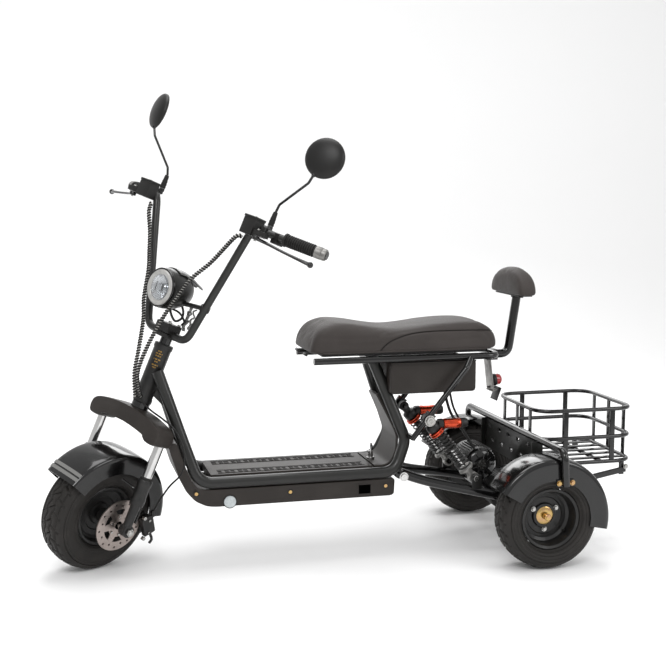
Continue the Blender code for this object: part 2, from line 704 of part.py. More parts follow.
LOCK = Vector((0.8300, 0.0, 0.2700))
UPSTAND_PATH = [(0.8160, 0.0860, 0.2665), (0.8480, 0.0860, 0.2665), (0.8700, 0.0830, 0.2790),
                (0.8840, 0.0800, 0.3050),
                (0.8905, 0.0720, 0.3350), (0.8890, 0.0640, 0.3620), (0.8610, 0.0500, 0.4250),
                (0.8380, 0.0400, 0.4720)]


def build_deck():
    lid = box((0.478, 0.174, 0.0250), (0.5730, 0, DECK_TOP - 0.0125), 0.003)
    finish_piece(lid, "deck_lid", "black_plastic", ORIGIN)
    points = [(x, side * half, z) for x, half, z in UPSTAND_PATH for side in (-1, 0, 1)]
    faces = [(3 * i + j, 3 * i + j + 1, 3 * i + j + 4, 3 * i + j + 3)
             for i in range(len(UPSTAND_PATH) - 1) for j in (0, 1)]
    mesh = bpy.data.meshes.new("upstand")
    mesh.from_pydata(points, [], faces)
    upstand = bpy.data.objects.new("upstand", mesh)
    VEHICLE.objects.link(upstand)
    sheet = upstand.modifiers.new("sheet", "SOLIDIFY")
    sheet.thickness = 0.008
    sheet.offset = 0
    hole = cylinder(0.0082, 0.060, LOCK, "Z", 16)
    finish_piece(cut(upstand, [hole] + main_tube_rooms(), ORIGIN), "rear_upstand", "black_plastic", ORIGIN)
    barrel = turned([(0, 0.0240), (0.0075, 0.0240), (0.0075, -0.0140), (0, -0.0140)], LOCK, 16, axis="Z")
    bow = box((0.020, 0.0026, 0.030), LOCK + Vector((0, 0, 0.036)))
    key = joined(barrel, [bow], ORIGIN)
    finish_piece(key, "ignition_key", "chrome", ORIGIN)


def build_under_seat_box():
    body = solid(outline([(0.8620, 0.5740), (0.8620, 0.4850), (0.8680, 0.4790), (1.1200, 0.4790),
                          (1.1260, 0.4850), (1.1260, 0.5740)], 0.198))
    hollow = box((0.225, 0.180, 0.100), (1.0055, 0, 0.5360))
    finish_piece(cut(body, [hollow] + main_tube_rooms(), ORIGIN), "under_seat_box", "black_plastic", ORIGIN)


# ---- Seat and backrest -------------------------------------------------------------------------------------
SEAT_BASE_Z = 0.5965
# Each section of the cushion: back, half width, underside, top.
SEAT_SECTIONS = [(0.618, 0.050, 0.616, 0.640), (0.634, 0.100, 0.607, 0.668), (0.670, 0.124, 0.6062, 0.688),
                 (0.745, 0.130, 0.6062, 0.687), (0.868, 0.130, 0.6062, 0.674), (0.960, 0.130, 0.6062, 0.682),
                 (1.060, 0.130, 0.6062, 0.686), (1.150, 0.126, 0.6062, 0.686), (1.182, 0.108, 0.607, 0.674),
                 (1.194, 0.060, 0.616, 0.650)]


def section_points(back, half, low, high):
    """A cushion section: flat below, full at the sides, gently crowned on top."""
    middle = (low + high) / 2
    return [(back, -half * 0.94, low), (back, -half, middle), (back, -half * 0.90, high - 0.006),
            (back, 0, high),
            (back, half * 0.90, high - 0.006), (back, half, middle), (back, half * 0.94, low), (back, 0, low)]


def build_seat():
    base = box((0.500, 0.205, 0.0080), (0.905, 0, SEAT_BASE_Z + 0.0045), 0.002)
    finish_piece(base, "seat_base", "black_plastic", ORIGIN)
    rings = [section_points(*section) for section in SEAT_SECTIONS]
    count = len(rings[0])
    faces = [(i * count + j, i * count + (j + 1) % count, (i + 1) * count + (j + 1) % count,
              (i + 1) * count + j)
             for i in range(len(rings) - 1) for j in range(count)]
    faces.append(tuple(range(count))[::-1])
    faces.append(tuple(range((len(rings) - 1) * count, len(rings) * count)))
    mesh = bpy.data.meshes.new("cushion")
    mesh.from_pydata([point for ring in rings for point in ring], [], faces)
    work = bmesh.new()
    work.from_mesh(mesh)
    bmesh.ops.recalc_face_normals(work, faces=work.faces)
    work.to_mesh(mesh)
    work.free()
    cushion = bpy.data.objects.new("cushion", mesh)
    VEHICLE.objects.link(cushion)
    soft = cushion.modifiers.new("soft_form", "SUBSURF")
    soft.levels = 1
    soft.render_levels = 1
    finish_piece(smooth(cushion, 60), "seat_cushion", "brown_leather", ORIGIN)


def build_backrest():
    path = rounded([(1.2035, 0, 0.5740), (1.2660, 0, 0.5740), (1.2980, 0, 0.7900)], 0.030, 5)
    post = tube(path, 0.0132, around=3)
    finish_piece(post, "backrest_post", "black_paint", ORIGIN)
    arch = [(-0.126, 0.7660), (-0.112, 0.7980), (-0.078, 0.8240), (-0.040, 0.8380), (0.0, 0.8420),
            (0.040, 0.8380), (0.078, 0.8240), (0.112, 0.7980), (0.126, 0.7660), (0.110, 0.7585),
            (-0.110, 0.7585)]
    pad = solid(outline(arch, 0.056))
    pad.rotation_euler = (math.pi / 2, 0, math.pi / 2)
    pad.location = (1.281, 0, 0)
    room = rod(0.0150, (1.2921, 0, 0.750), (1.29885, 0, 0.7960), 20)
    finish_piece(cut(pad, [room], ORIGIN), "backrest_pad", "brown_leather", ORIGIN)
    lamp = turned([(0, 0.0300), (0.0100, 0.0290), (0.0170, 0.0200), (0.0180, 0.0), (0, 0.0)],
                  (1.2165, 0, 0.4930), 20,
                  axis="Z")
    lamp.rotation_euler = (0, math.pi / 2 - 0.12, 0)
    finish_piece(smooth(lamp), "tail_lamp", "red_lens", ORIGIN)


# ---- Rear carriage -----------------------------------------------------------------------------------------
ARM_SIDE = 0.070


def build_swing_arm():
    """Two bent arms from the pivot tube to a cross tube in front of the axle."""
    cross = rod(0.0150, (PIVOT[0], -0.0860, PIVOT[1]), (PIVOT[0], 0.0860, PIVOT[1]), 20)
    pieces = []
    for side in (-1, 1):
        path = [(PIVOT[0] + 0.004, side * ARM_SIDE, PIVOT[1]), (0.980, side * (ARM_SIDE + 0.014), 0.212),
                (1.110, side * 0.118, 0.184), (1.2050, side * 0.130, 0.1620)]
        pieces.append(solid(tube(curved(path, 2), 0.0145, around=1)))
        pieces.append(rod(0.0065, (SHOCK_FOOT[0], side * 0.0920, SHOCK_FOOT[1]),
                          (SHOCK_FOOT[0], side * 0.1340, SHOCK_FOOT[1]), 12))
        pieces.append(box((0.030, 0.008, 0.052), (SHOCK_FOOT[0] + 0.004, side * 0.1280,
                                                  SHOCK_FOOT[1] - 0.018)))
        pieces.append(box((0.0340, 0.036, 0.044), (1.2190, side * 0.130, 0.1560), 0.003))
    cross_rear = rod(0.0130, (1.182, -0.140, 0.1680), (1.182, 0.140, 0.1680), 12)
    arm = joined(cross, pieces + [cross_rear], ORIGIN)
    finish_piece(arm, "swing_arm", "black_paint", ORIGIN)


def build_axle_unit():
    """The rear axle: a housing tube with its round gear housing and half shafts, and the motor ahead of it."""
    case = cylinder(0.058, 0.075, (REAR_X, 0.012, REAR_TYRE[0]), "Y", 28)
    casing = cylinder(0.0240, 0.440, (REAR_X, 0, REAR_TYRE[0]), "Y", 20)
    shafts = cylinder(0.0098, 0.660, (REAR_X, 0, REAR_TYRE[0]), "Y", 16)
    finish_piece(joined(case, [casing, shafts], ORIGIN), "rear_axle_unit", "black_paint", ORIGIN)
    motor = turned([(0, 0.075), (0.030, 0.075), (0.052, 0.066), (0.056, 0.050), (0.056, -0.040),
                    (0.050, -0.058), (0.022, -0.064), (0, -0.064)], (1.168, 0.012, 0.2430), 28)
    finish_piece(smooth(motor), "drive_motor", "aluminium", ORIGIN)


def build_hoop():
    """The arched tube over the axle, with its dark panel, its feet beside the wheels and its stays."""
    path = rounded([(HOOP_X + 0.006, -HOOP_SIDE, 0.2480), (HOOP_X, -HOOP_SIDE, HOOP_TOP),
                    (HOOP_X, HOOP_SIDE, HOOP_TOP),
                    (HOOP_X + 0.006, HOOP_SIDE, 0.2480)], 0.030, 4)
    hoop = solid(tube(path, 0.0105))
    panel = box((0.006, 0.400, 0.100), (HOOP_X - 0.004, 0, 0.2930))
    pieces = [panel]
    for side in (-1, 1):
        pieces.append(box((0.034, 0.006, 0.150), (HOOP_X - 0.004, side * 0.196, 0.2620)))
        pieces.append(rod(0.0085, (HOOP_X - 0.008, side * 0.196, 0.2100), (1.2700, side * 0.196, 0.1716), 12))
    foot = joined(hoop, pieces, ORIGIN)
    finish_piece(foot, "rear_hoop", "black_paint", ORIGIN)


def build_rear_fenders():
    for name, side in SIDES.items():
        lips = (side < 0, side > 0)
        fender = fender_shell(0.176, 0.003, 0.0560, 0.062, -12, 150, 14, lips)
        fender.location = (0, side * TRACK / 2, 0)
        finish_piece(smooth(fender, 50), f"rear_fender_{name}", "black_paint", REAR_AXLE)


def shock_point(distance, side):
    """A point on the shock's own line, measured from its upper bolt."""
    top = Vector((SHOCK_TOP[0], side * SHOCK_SIDE, SHOCK_TOP[1]))
    foot = Vector((SHOCK_FOOT[0], side * SHOCK_SIDE, SHOCK_FOOT[1]))
    return top + (foot - top).normalized() * distance


SHOCK_LENGTH = math.dist(SHOCK_TOP, SHOCK_FOOT)


def build_shocks():
    """Each shock is a body on the upper bolt, a rod on the lower bolt, and a spring round both."""
    for name, side in SIDES.items():
        body = rod(0.0110, shock_point(0.0, side), shock_point(0.125, side), 12)
        eye = cylinder(0.0150, 0.022, shock_point(0, side), "Y", 12)
        cap = rod(0.0190, shock_point(0.024, side), shock_point(0.044, side), 12)
        perch = rod(0.0240, shock_point(0.046, side), shock_point(0.056, side), 16)
        tank_at = shock_point(0.030, side) + Vector((0.052, 0, 0.006))
        tank = cylinder(0.0155, 0.070, tank_at, "X", 12)
        upper = joined(body, [eye, cap, perch, tank], ORIGIN)
        bolt_room = cylinder(0.0068, 0.06, shock_point(0, side), "Y", 12)
        rod_room = rod(0.0064, shock_point(0.070, side), shock_point(0.140, side), 12)
        finish_piece(cut(upper, [bolt_room, rod_room], ORIGIN), f"shock_body_{name}", "red_anodised", ORIGIN)
        shaft = rod(0.0055, shock_point(0.115, side), shock_point(SHOCK_LENGTH - 0.012, side), 12)
        seat = rod(0.0240, shock_point(SHOCK_LENGTH - 0.040, side), shock_point(SHOCK_LENGTH - 0.031, side),
                   16)
        foot = cylinder(0.0155, 0.022, shock_point(SHOCK_LENGTH, side), "Y", 14)
        link = rod(0.0110, shock_point(SHOCK_LENGTH - 0.034, side), shock_point(SHOCK_LENGTH - 0.006, side),
                   12)
        lower = joined(shaft, [seat, link, foot], ORIGIN)
        foot_room = cylinder(0.0090, 0.06, shock_point(SHOCK_LENGTH, side), "Y", 12)
        finish_piece(cut(lower, [foot_room], ORIGIN), f"shock_rod_{name}", "chrome", ORIGIN)
        start, end = 0.0605, SHOCK_LENGTH - 0.0445
        along = (shock_point(1, side) - shock_point(0, side)).normalized()
        across = along.cross(Vector((0, 1, 0))).normalized()
        turns, per_turn = 7, 8
        coil = []
        for i in range(turns * per_turn + 1):
            share = i / (turns * per_turn)
            angle = math.tau * turns * share
            spoke = across * math.cos(angle) + Vector((0, 1, 0)) * math.sin(angle)
            coil.append(shock_point(start + (end - start) * share, side) + spoke * 0.0185)
        finish_piece(tube(coil, 0.0026, around=0), f"shock_spring_{name}", "black_paint", ORIGIN)


# ---- Basket ------------------------------------------------------------------------------------------------
BASKET = (1.302, 1.612)         # front and back
BASKET_SIDE = 0.162
BASKET_LEVELS = (0.4180, 0.3340, 0.2580)
BASKET_WIRE = 0.0062
BAR_WIDTH, BAR_THICK = 0.015, 0.006    # the basket's flat upright bars
CORNER = 0.055              # radius of the basket's corners


def ring_points(level):
    (front, back), half = BASKET, BASKET_SIDE
    corners = [(front, -half), (back, -half), (back, half), (front, half)]
    points = []
    for (x, y), turn in zip(corners, (180, 270, 0, 90)):
        middle = (x + math.copysign(CORNER, (front + back) / 2 - x), y - math.copysign(CORNER, y))
        points += [(a, b, level) for a, b in arc(CORNER, turn, turn + 90, 4, middle)]
    return points


def build_basket():
    rings = [solid(tube(ring_points(level), BASKET_WIRE, closed=True, around=1)) for level in BASKET_LEVELS]
    bars = []
    low, high = BASKET_LEVELS[2], BASKET_LEVELS[0]
    middle, tall = (low + high) / 2, high - low
    for side in (-1, 1):
        for share in (0.28, 0.77):
            x = BASKET[0] + (BASKET[1] - BASKET[0]) * share
            bars.append(box((BAR_WIDTH, BAR_THICK, tall), (x, side * BASKET_SIDE, middle)))
    for x in BASKET:
        for share in (-0.60, 0.0, 0.60):
            bars.append(box((BAR_THICK, BAR_WIDTH, tall), (x, share * BASKET_SIDE, middle)))
    for share in (-0.66, -0.33, 0.0, 0.33, 0.66):
        y = share * BASKET_SIDE
        bars.append(box((BASKET[1] - BASKET[0], 0.016, 0.005), ((BASKET[0] + BASKET[1]) / 2, y, low)))
    for share in (0.30, 0.70):
        x = BASKET[0] + (BASKET[1] - BASKET[0]) * share
        bars.append(box((0.016, 2 * BASKET_SIDE, 0.005), (x, 0, low - 0.0040)))
    for side in (-1, 1):
        bars.append(box((BAR_WIDTH, BAR_THICK, 0.050), (1.5600, side * BASKET_SIDE, low - 0.0185)))
        stay = box((0.288, BAR_THICK, 0.018), (1.4480, side * 0.1539, 0.2035), 0, (0, -0.1967, side * 0.0587))
        bars.append(stay)
    basket = joined(rings[0], rings[1:] + bars, ORIGIN)
    finish_piece(basket, "rear_basket", "black_paint", ORIGIN)


# ---- Hoses -------------------------------------------------------------------------------------------------
def build_hoses():
    """Hydraulic hoses in spiral wrap, from each master cylinder to the column and on to the caliper."""
    left = [(-0.0600, -0.1880, 1.0480), (-0.0690, -0.1750, 1.0410), (-0.0640, -0.1400, 0.9900),
            (-0.0640, -0.1150, 0.9470), (-0.0820, -0.0860, 0.8860), (-0.0880, -0.0680, 0.8250),
            (-0.0880, -0.0500, 0.7700), (-0.0950, -0.0400, 0.6760), (-0.0910, -0.0360, 0.6000),
            (-0.0700, -0.0360, 0.5600), (-0.0400, -0.0340, 0.5280)]
    right = [(-0.0700, 0.1930, 1.0480), (-0.0720, 0.1850, 1.0200), (-0.0640, 0.1600, 0.9700),
             (-0.0620, 0.1350, 0.9200), (-0.0700, 0.1000, 0.8700), (-0.0700, 0.0740, 0.7900),
             (-0.0680, 0.0450, 0.7330), (-0.0760, 0.0100, 0.6550), (-0.0700, 0.0000, 0.5950),
             (-0.0560, -0.0060, 0.5550), (-0.0420, -0.0120, 0.5240)]
    for name, route in (("left", left), ("right", right)):
        hose = tube(curved(route, 2), 0.0052, around=1)
        finish_piece(hose, f"brake_hose_{name}", "rubber", STEERED)
    down = [(-0.0380, -0.0440, 0.5180), (-0.0200, -0.0700, 0.5060), (-0.0060, -0.1100, 0.4980),
            (0.0060, -0.1560, 0.4850), (0.0300, -0.1850, 0.4500), (0.0520, -0.1960, 0.4110),
            (0.0620, -0.1900, 0.3726), (0.0660, -0.1700, 0.3319), (0.0700, -0.1480, 0.2840),
            (0.0780, -0.1280, 0.2450)]
    finish_piece(tube(curved(down, 3), 0.0026, around=0), "caliper_hose", "rubber", STEERED)


build_front_wheel()
build_rear_wheels()
build_fork_upper()
build_crown_cover()
build_fork_lower()
build_front_fender()
build_caliper()
build_handlebar()
build_grips()
build_brake_controls()
build_mirrors()
build_headlight()
build_head_tube()
build_main_tubes()
build_seat_subframe()
build_lower_hull()
build_deck()
build_under_seat_box()
build_seat()
build_backrest()
build_swing_arm()
build_axle_unit()
build_hoop()
build_rear_fenders()
build_shocks()
build_basket()
build_hoses()
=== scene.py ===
"""The look of the three-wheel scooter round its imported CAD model: pieces, materials, stage and camera."""

import math

import bmesh
import bpy
import numpy as np
from mathutils import Matrix, Vector
from mathutils.bvhtree import BVHTree


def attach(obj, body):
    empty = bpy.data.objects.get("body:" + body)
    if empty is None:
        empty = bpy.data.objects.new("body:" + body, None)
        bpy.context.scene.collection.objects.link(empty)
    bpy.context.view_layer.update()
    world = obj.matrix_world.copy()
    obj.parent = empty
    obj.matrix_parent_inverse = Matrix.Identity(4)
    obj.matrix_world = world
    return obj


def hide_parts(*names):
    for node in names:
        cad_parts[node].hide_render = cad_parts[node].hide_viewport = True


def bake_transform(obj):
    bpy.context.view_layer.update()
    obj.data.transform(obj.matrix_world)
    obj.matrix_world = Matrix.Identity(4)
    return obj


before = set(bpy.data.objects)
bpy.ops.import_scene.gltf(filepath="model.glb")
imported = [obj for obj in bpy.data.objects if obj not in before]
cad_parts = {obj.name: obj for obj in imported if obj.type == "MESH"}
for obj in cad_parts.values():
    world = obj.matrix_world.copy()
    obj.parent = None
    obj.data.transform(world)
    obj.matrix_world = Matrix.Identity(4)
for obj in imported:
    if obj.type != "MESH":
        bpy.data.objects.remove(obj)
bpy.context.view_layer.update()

# ---- The CAD model's own dimensions, in metres --------------------
FRONT_X = -0.748
REAR_X = 1.261
TRACK = 0.612
RAKE = math.radians(22.4)
STEER_AT_REST = math.radians(34.9)
AXIS_X = -0.042
FRONT_TYRE = (0.1655, 0.104)
REAR_TYRE = (0.147, 0.104)
AXLE_Z = REAR_TYRE[0]
RIM_LIP = 0.093
LEG_SIDE = 0.13
STANCHION = 0.0135
DISC_SIDE = 0.101
DISC_RADIUS = 0.075
AXLE_BACK = -0.006
AXLE_ALONG = 0.175868
TUBE = 0.0165
DECK_SIDE = 0.106
DECK_TOP = 0.2715
HULL_BOTTOM = 0.181
HULL_SIDE = 0.1086
RAIL_SIDE = 0.111
RAIL_Z = 0.5855
BRACE_SIDE = 0.1375
PIVOT = (0.896, 0.239)
SHOCK_TOP = (0.968, 0.405)
SHOCK_FOOT = (1.117, 0.223)
SHOCK_SIDE = 0.108
HOOP_X, HOOP_TOP, HOOP_SIDE = 1.285, 0.345, 0.375
BAR_RADIUS = 0.011
GRIP_IN = Vector((-0.0158, 0.298, 1.08))
GRIP_OUT = Vector((0.029, 0.4185, 1.08))
BAR_CORNER = (-0.05, 0.206, 1.08)
SIDES = {"left": -1, "right": 1}

ORIGIN = Matrix.Translation((FRONT_X, 0, 0))
STEERED = (ORIGIN @ Matrix.Translation((AXIS_X, 0, 0)) @ Matrix.Rotation(RAKE, 4, "Y")
           @ Matrix.Rotation(STEER_AT_REST, 4, "Z"))
FRONT_AXLE = STEERED @ Matrix.Translation((AXLE_BACK, 0, AXLE_ALONG)) @ Matrix.Rotation(-RAKE, 4, "Y")
REAR_AXLE = ORIGIN @ Matrix.Translation((REAR_X, 0, AXLE_Z))


# ---- Camera and stage --------------------
def make_camera():
    yaw, pitch, roll = 0.2546, 0.1224, 0.0011
    data = bpy.data.cameras.new("camera")
    data.lens = 64.1
    data.sensor_width = 36.0
    camera = bpy.data.objects.new("camera", data)
    bpy.context.scene.collection.objects.link(camera)
    camera.location = (FRONT_X - 0.1571, -3.346, 1.078)
    turn = (Matrix.Rotation(-yaw, 3, "Z") @ Matrix.Rotation(math.pi / 2 - pitch, 3, "X")
            @ Matrix.Rotation(roll, 3, "Z"))
    camera.rotation_euler = turn.to_euler()
    bpy.context.scene.camera = camera


def make_stage():
    size, rise, back, bend, steps = 9.0, 6.0, 4.5, 1.6, 16
    turn = [math.pi / 2 * i / steps for i in range(steps + 1)]
    sweep = [(back - bend + bend * math.sin(a), bend - bend * math.cos(a)) for a in turn]
    path = [(-size, 0)] + sweep + [(back, rise)]
    verts = [(x, y, z) for y, z in path for x in (-size, size)]
    faces = [(2 * i, 2 * i + 1, 2 * i + 3, 2 * i + 2) for i in range(len(path) - 1)]
    mesh = bpy.data.meshes.new("floor")
    mesh.from_pydata(verts, [], faces)
    mesh.shade_smooth()
    floor = bpy.data.objects.new("floor", mesh)
    bpy.context.scene.collection.objects.link(floor)
    material = bpy.data.materials.new("floor")
    material.use_nodes = True
    shader = material.node_tree.nodes["Principled BSDF"]
    shader.inputs["Base Color"].default_value = (0.93, 0.93, 0.93, 1)
    shader.inputs["Roughness"].default_value = 0.9
    shader.inputs["Specular IOR Level"].default_value = 0.2
    mesh.materials.append(material)
    world = bpy.data.worlds.new("studio")
    bpy.context.scene.world = world
    world.use_nodes = True
    world.node_tree.nodes["Background"].inputs["Color"].default_value = (1, 1, 1, 1)
    world.node_tree.nodes["Background"].inputs["Strength"].default_value = 0.72


def light(name, at, aim, size, power, size_y=None):
    data = bpy.data.lights.new(name, "AREA")
    data.shape = "RECTANGLE"
    data.size = size
    data.size_y = size_y or size
    data.energy = power
    obj = bpy.data.objects.new(name, data)
    bpy.context.scene.collection.objects.link(obj)
    obj.location = at
    obj.rotation_euler = (Vector(aim) - Vector(at)).to_track_quat("-Z", "Y").to_euler()


# ---- Materials --------------------
def surface(name, colour, rough, metal=0.0, coat=0.0, tint=None, tint_scale=14.0, tint_edge=(0.45, 0.75),
            spread=0.05, grain="noise", grain_scale=600.0, depth=0.00006, stretch=(1, 1, 1), sheen=0.0,
            specular=0.5, transmission=0.0, second=None):
    """A Principled material whose colour and roughness vary, with a fine relief in its surface."""
    material = bpy.data.materials.new(name)
    material.use_nodes = True
    nodes, links = material.node_tree.nodes, material.node_tree.links
    shader = nodes["Principled BSDF"]
    shader.inputs["Metallic"].default_value = metal
    shader.inputs["Coat Weight"].default_value = coat
    shader.inputs["Coat Roughness"].default_value = 0.06
    shader.inputs["Sheen Weight"].default_value = sheen
    shader.inputs["Specular IOR Level"].default_value = specular
    shader.inputs["Transmission Weight"].default_value = transmission
    place = nodes.new("ShaderNodeTexCoord")
    mapping = nodes.new("ShaderNodeMapping")
    mapping.inputs["Scale"].default_value = stretch
    links.new(place.outputs["Object"], mapping.inputs["Vector"])
    cloud = nodes.new("ShaderNodeTexNoise")
    cloud.inputs["Scale"].default_value = tint_scale
    cloud.inputs["Detail"].default_value = 5.0
    links.new(place.outputs["Object"], cloud.inputs["Vector"])
    ramp = nodes.new("ShaderNodeValToRGB")
    ramp.color_ramp.elements[0].position, ramp.color_ramp.elements[1].position = tint_edge
    ramp.color_ramp.elements[0].color = (*colour, 1)
    ramp.color_ramp.elements[1].color = (*(tint or [c * 1.25 + 0.002 for c in colour]), 1)
    links.new(cloud.outputs["Fac"], ramp.inputs["Fac"])
    links.new(ramp.outputs["Color"], shader.inputs["Base Color"])
    span = nodes.new("ShaderNodeMapRange")
    span.inputs["To Min"].default_value = max(0.02, rough - spread)
    span.inputs["To Max"].default_value = min(1.0, rough + spread)
    links.new(cloud.outputs["Fac"], span.inputs["Value"])
    links.new(span.outputs["Result"], shader.inputs["Roughness"])
    if grain == "voronoi":
        relief = nodes.new("ShaderNodeTexVoronoi")
        relief.feature = "SMOOTH_F1"
        relief.inputs["Smoothness"].default_value = 0.35
        out = relief.outputs["Distance"]
    elif grain == "wave":
        relief = nodes.new("ShaderNodeTexWave")
        relief.inputs["Distortion"].default_value = 0.4
        out = relief.outputs["Fac"]
    else:
        relief = nodes.new("ShaderNodeTexNoise")
        relief.inputs["Detail"].default_value = 3.0
        out = relief.outputs["Fac"]
    relief.inputs["Scale"].default_value = grain_scale
    links.new(mapping.outputs["Vector"], relief.inputs["Vector"])
    bump = nodes.new("ShaderNodeBump")
    bump.inputs["Strength"].default_value = 1.0
    bump.inputs["Distance"].default_value = depth
    links.new(out, bump.inputs["Height"])
    if second:
        wide = nodes.new("ShaderNodeTexNoise")
        wide.inputs["Scale"].default_value = second[0]
        links.new(place.outputs["Object"], wide.inputs["Vector"])
        first = nodes.new("ShaderNodeBump")
        first.inputs["Distance"].default_value = second[1]
        links.new(wide.outputs["Fac"], first.inputs["Height"])
        links.new(first.outputs["Normal"], bump.inputs["Normal"])
    links.new(bump.outputs["Normal"], shader.inputs["Normal"])
    return material


GLOSS = surface("gloss_black", (0.0034, 0.0033, 0.0034), 0.15, coat=0.25, tint=(0.0052, 0.0048, 0.0046),
                grain_scale=240, depth=0.00003, spread=0.04, specular=0.42)
SATIN = surface("satin_black", (0.0072, 0.0072, 0.0064), 0.36, coat=0.12, tint=(0.0125, 0.0122, 0.0108),
                grain_scale=420, depth=0.00005, specular=0.42)
CAST = surface("cast_black", (0.0062, 0.006, 0.0058), 0.44, coat=0.1, tint=(0.014, 0.013, 0.012),
               tint_scale=40,
               grain_scale=520, depth=0.00018, second=(60, 0.0004), specular=0.4)
PLASTIC = surface("moulded_plastic", (0.021, 0.0172, 0.015), 0.46, tint=(0.03, 0.0252, 0.0222), tint_scale=9,
                  grain_scale=1500, depth=0.0001, specular=0.28)
DARK_PLASTIC = surface("dark_plastic", (0.0058, 0.0054, 0.0052), 0.42, tint=(0.0105, 0.0098, 0.0092),
                       grain_scale=1300, depth=0.00008, specular=0.35)
TREAD = surface("deck_tread", (0.0095, 0.008, 0.0072), 0.7, tint=(0.0165, 0.014, 0.0128), tint_scale=22,
                grain="voronoi", grain_scale=420, depth=0.0005, specular=0.22)
LEATHER = surface("seat_leather", (0.03, 0.0245, 0.0222), 0.6, tint=(0.042, 0.035, 0.032), tint_scale=7,
                  grain="voronoi", grain_scale=520, depth=0.00035, sheen=0.06, second=(34, 0.001),
                  specular=0.3)
THREAD = surface("thread", (0.009, 0.0078, 0.007), 0.75, grain="wave", grain_scale=900, depth=0.0003,
                 specular=0.2)
RUBBER = surface("tyre_rubber", (0.0165, 0.0148, 0.0134), 0.58, tint=(0.026, 0.0232, 0.0212), tint_scale=18,
                 grain_scale=900, depth=0.00012, specular=0.26)
GRIP = surface("grip_rubber", (0.0085, 0.008, 0.0075), 0.58, tint=(0.016, 0.015, 0.014), grain_scale=1500,
               depth=0.0001, specular=0.3)
CHROME = surface("chrome", (0.66, 0.655, 0.65), 0.1, metal=1.0, tint=(0.52, 0.515, 0.51), spread=0.05,
                 grain_scale=90, depth=0.00002)
ZINC = surface("zinc_bolts", (0.46, 0.455, 0.44), 0.26, metal=1.0, tint=(0.3, 0.295, 0.28), tint_scale=120,
               grain_scale=900, depth=0.00006)
BRUSHED = surface("brushed_disc", (0.4, 0.345, 0.32), 0.3, metal=1.0, tint=(0.3, 0.255, 0.235), tint_scale=30,
                  grain_scale=420, depth=0.00008, stretch=(1, 1, 14), spread=0.08)
ALLOY = surface("cast_alloy", (0.27, 0.265, 0.255), 0.44, metal=0.9, tint=(0.16, 0.155, 0.15), tint_scale=45,
                grain_scale=480, depth=0.00025)
BRASS = surface("gold_zinc", (0.52, 0.36, 0.14), 0.24, metal=1.0, tint=(0.46, 0.26, 0.17), tint_scale=55,
                grain_scale=700, depth=0.00005)
RED_METAL = surface("red_anodised_metal", (0.62, 0.065, 0.018), 0.24, metal=0.9, coat=0.4,
                    tint=(0.34, 0.02, 0.008), tint_scale=40, grain_scale=800, depth=0.00004)
RED_LENS = surface("red_tail_lens", (0.3, 0.006, 0.008), 0.12, coat=0.6, tint=(0.48, 0.02, 0.02),
                   tint_scale=160,
                   grain="voronoi", grain_scale=260, depth=0.0004)
WHITE_LENS = surface("white_reflector", (0.46, 0.5, 0.51), 0.14, coat=0.6, tint=(0.36, 0.39, 0.4),
                     tint_scale=200, grain="voronoi", grain_scale=330, depth=0.0005)
BRIGHT = surface("lamp_bright", (0.62, 0.63, 0.64), 0.1, metal=1.0, tint=(0.22, 0.225, 0.23), tint_scale=30,
                 grain_scale=60, depth=0.0005)
LAMP_WHITE = surface("lamp_ring", (0.4, 0.395, 0.38), 0.3, coat=0.4, tint=(0.3, 0.295, 0.285), tint_scale=70,
                     grain_scale=300, depth=0.00005)
GLASS = surface("lamp_glass", (0.9, 0.91, 0.92), 0.04, tint=(0.84, 0.86, 0.88), transmission=1.0, spread=0.01,
                grain_scale=60, depth=0.00001)
MIRROR = surface("mirror_glass", (0.7, 0.71, 0.72), 0.03, metal=1.0, tint=(0.66, 0.67, 0.69), spread=0.01,
                 grain_scale=30, depth=0.000004)
SILVER_FOIL = surface("silver_strip", (0.24, 0.238, 0.23), 0.24, metal=0.6, tint=(0.15, 0.148, 0.145),
                      grain_scale=350, depth=0.0001)
# painted light, in part: the hose core's pale colour is partly its own tone and partly lifted so that it
# shows bright through the shaded gaps between the turns of the wrap
HOSE = surface("hose_core", (0.5, 0.49, 0.46), 0.45, tint=(0.36, 0.35, 0.33), grain_scale=800, depth=0.0001)
WRAP = surface("hose_wrap", (0.005, 0.0047, 0.0044), 0.4, tint=(0.009, 0.0084, 0.008), grain_scale=900,
               depth=0.00006, specular=0.3)
LABEL = surface("gold_print", (0.3, 0.17, 0.035), 0.35, metal=0.6, tint=(0.4, 0.25, 0.07), tint_scale=300,
                grain_scale=500, depth=0.00003)
PORT = surface("port_dark", (0.0008, 0.0008, 0.0008), 0.9, tint=(0.0012, 0.0012, 0.0012), specular=0.0)
CELL = surface("cell_sleeve", (0.05, 0.16, 0.2), 0.5, grain_scale=500, depth=0.0001)


# ---- Shapes: each is (points, faces) --------------------
def moved(shape, matrix):
    return [matrix @ Vector(p) for p in shape[0]], shape[1]


def aimed(at, direction):
    """A matrix that takes +Z to the direction and the origin to the point."""
    quat = Vector((0, 0, 1)).rotation_difference(Vector(direction).normalized())
    return Matrix.Translation(Vector(at)) @ quat.to_matrix().to_4x4()


def lathe(profile, steps=56, closed=False, at=(0, 0, 0), along=(0, 0, 1)):
    """(radius, height) points turned about an axis; closed joins the last point to the first."""
    count = len(profile)
    points = []
    for i in range(steps):
        a = math.tau * i / steps
        points += [(r * math.cos(a), r * math.sin(a), z) for r, z in profile]
    rows = count if closed else count - 1
    faces = []
    for i in range(steps):
        k = (i + 1) % steps
        for j in range(rows):
            n = (j + 1) % count
            faces.append((i * count + j, k * count + j, k * count + n, i * count + n))
    return moved((points, faces), aimed(at, along))


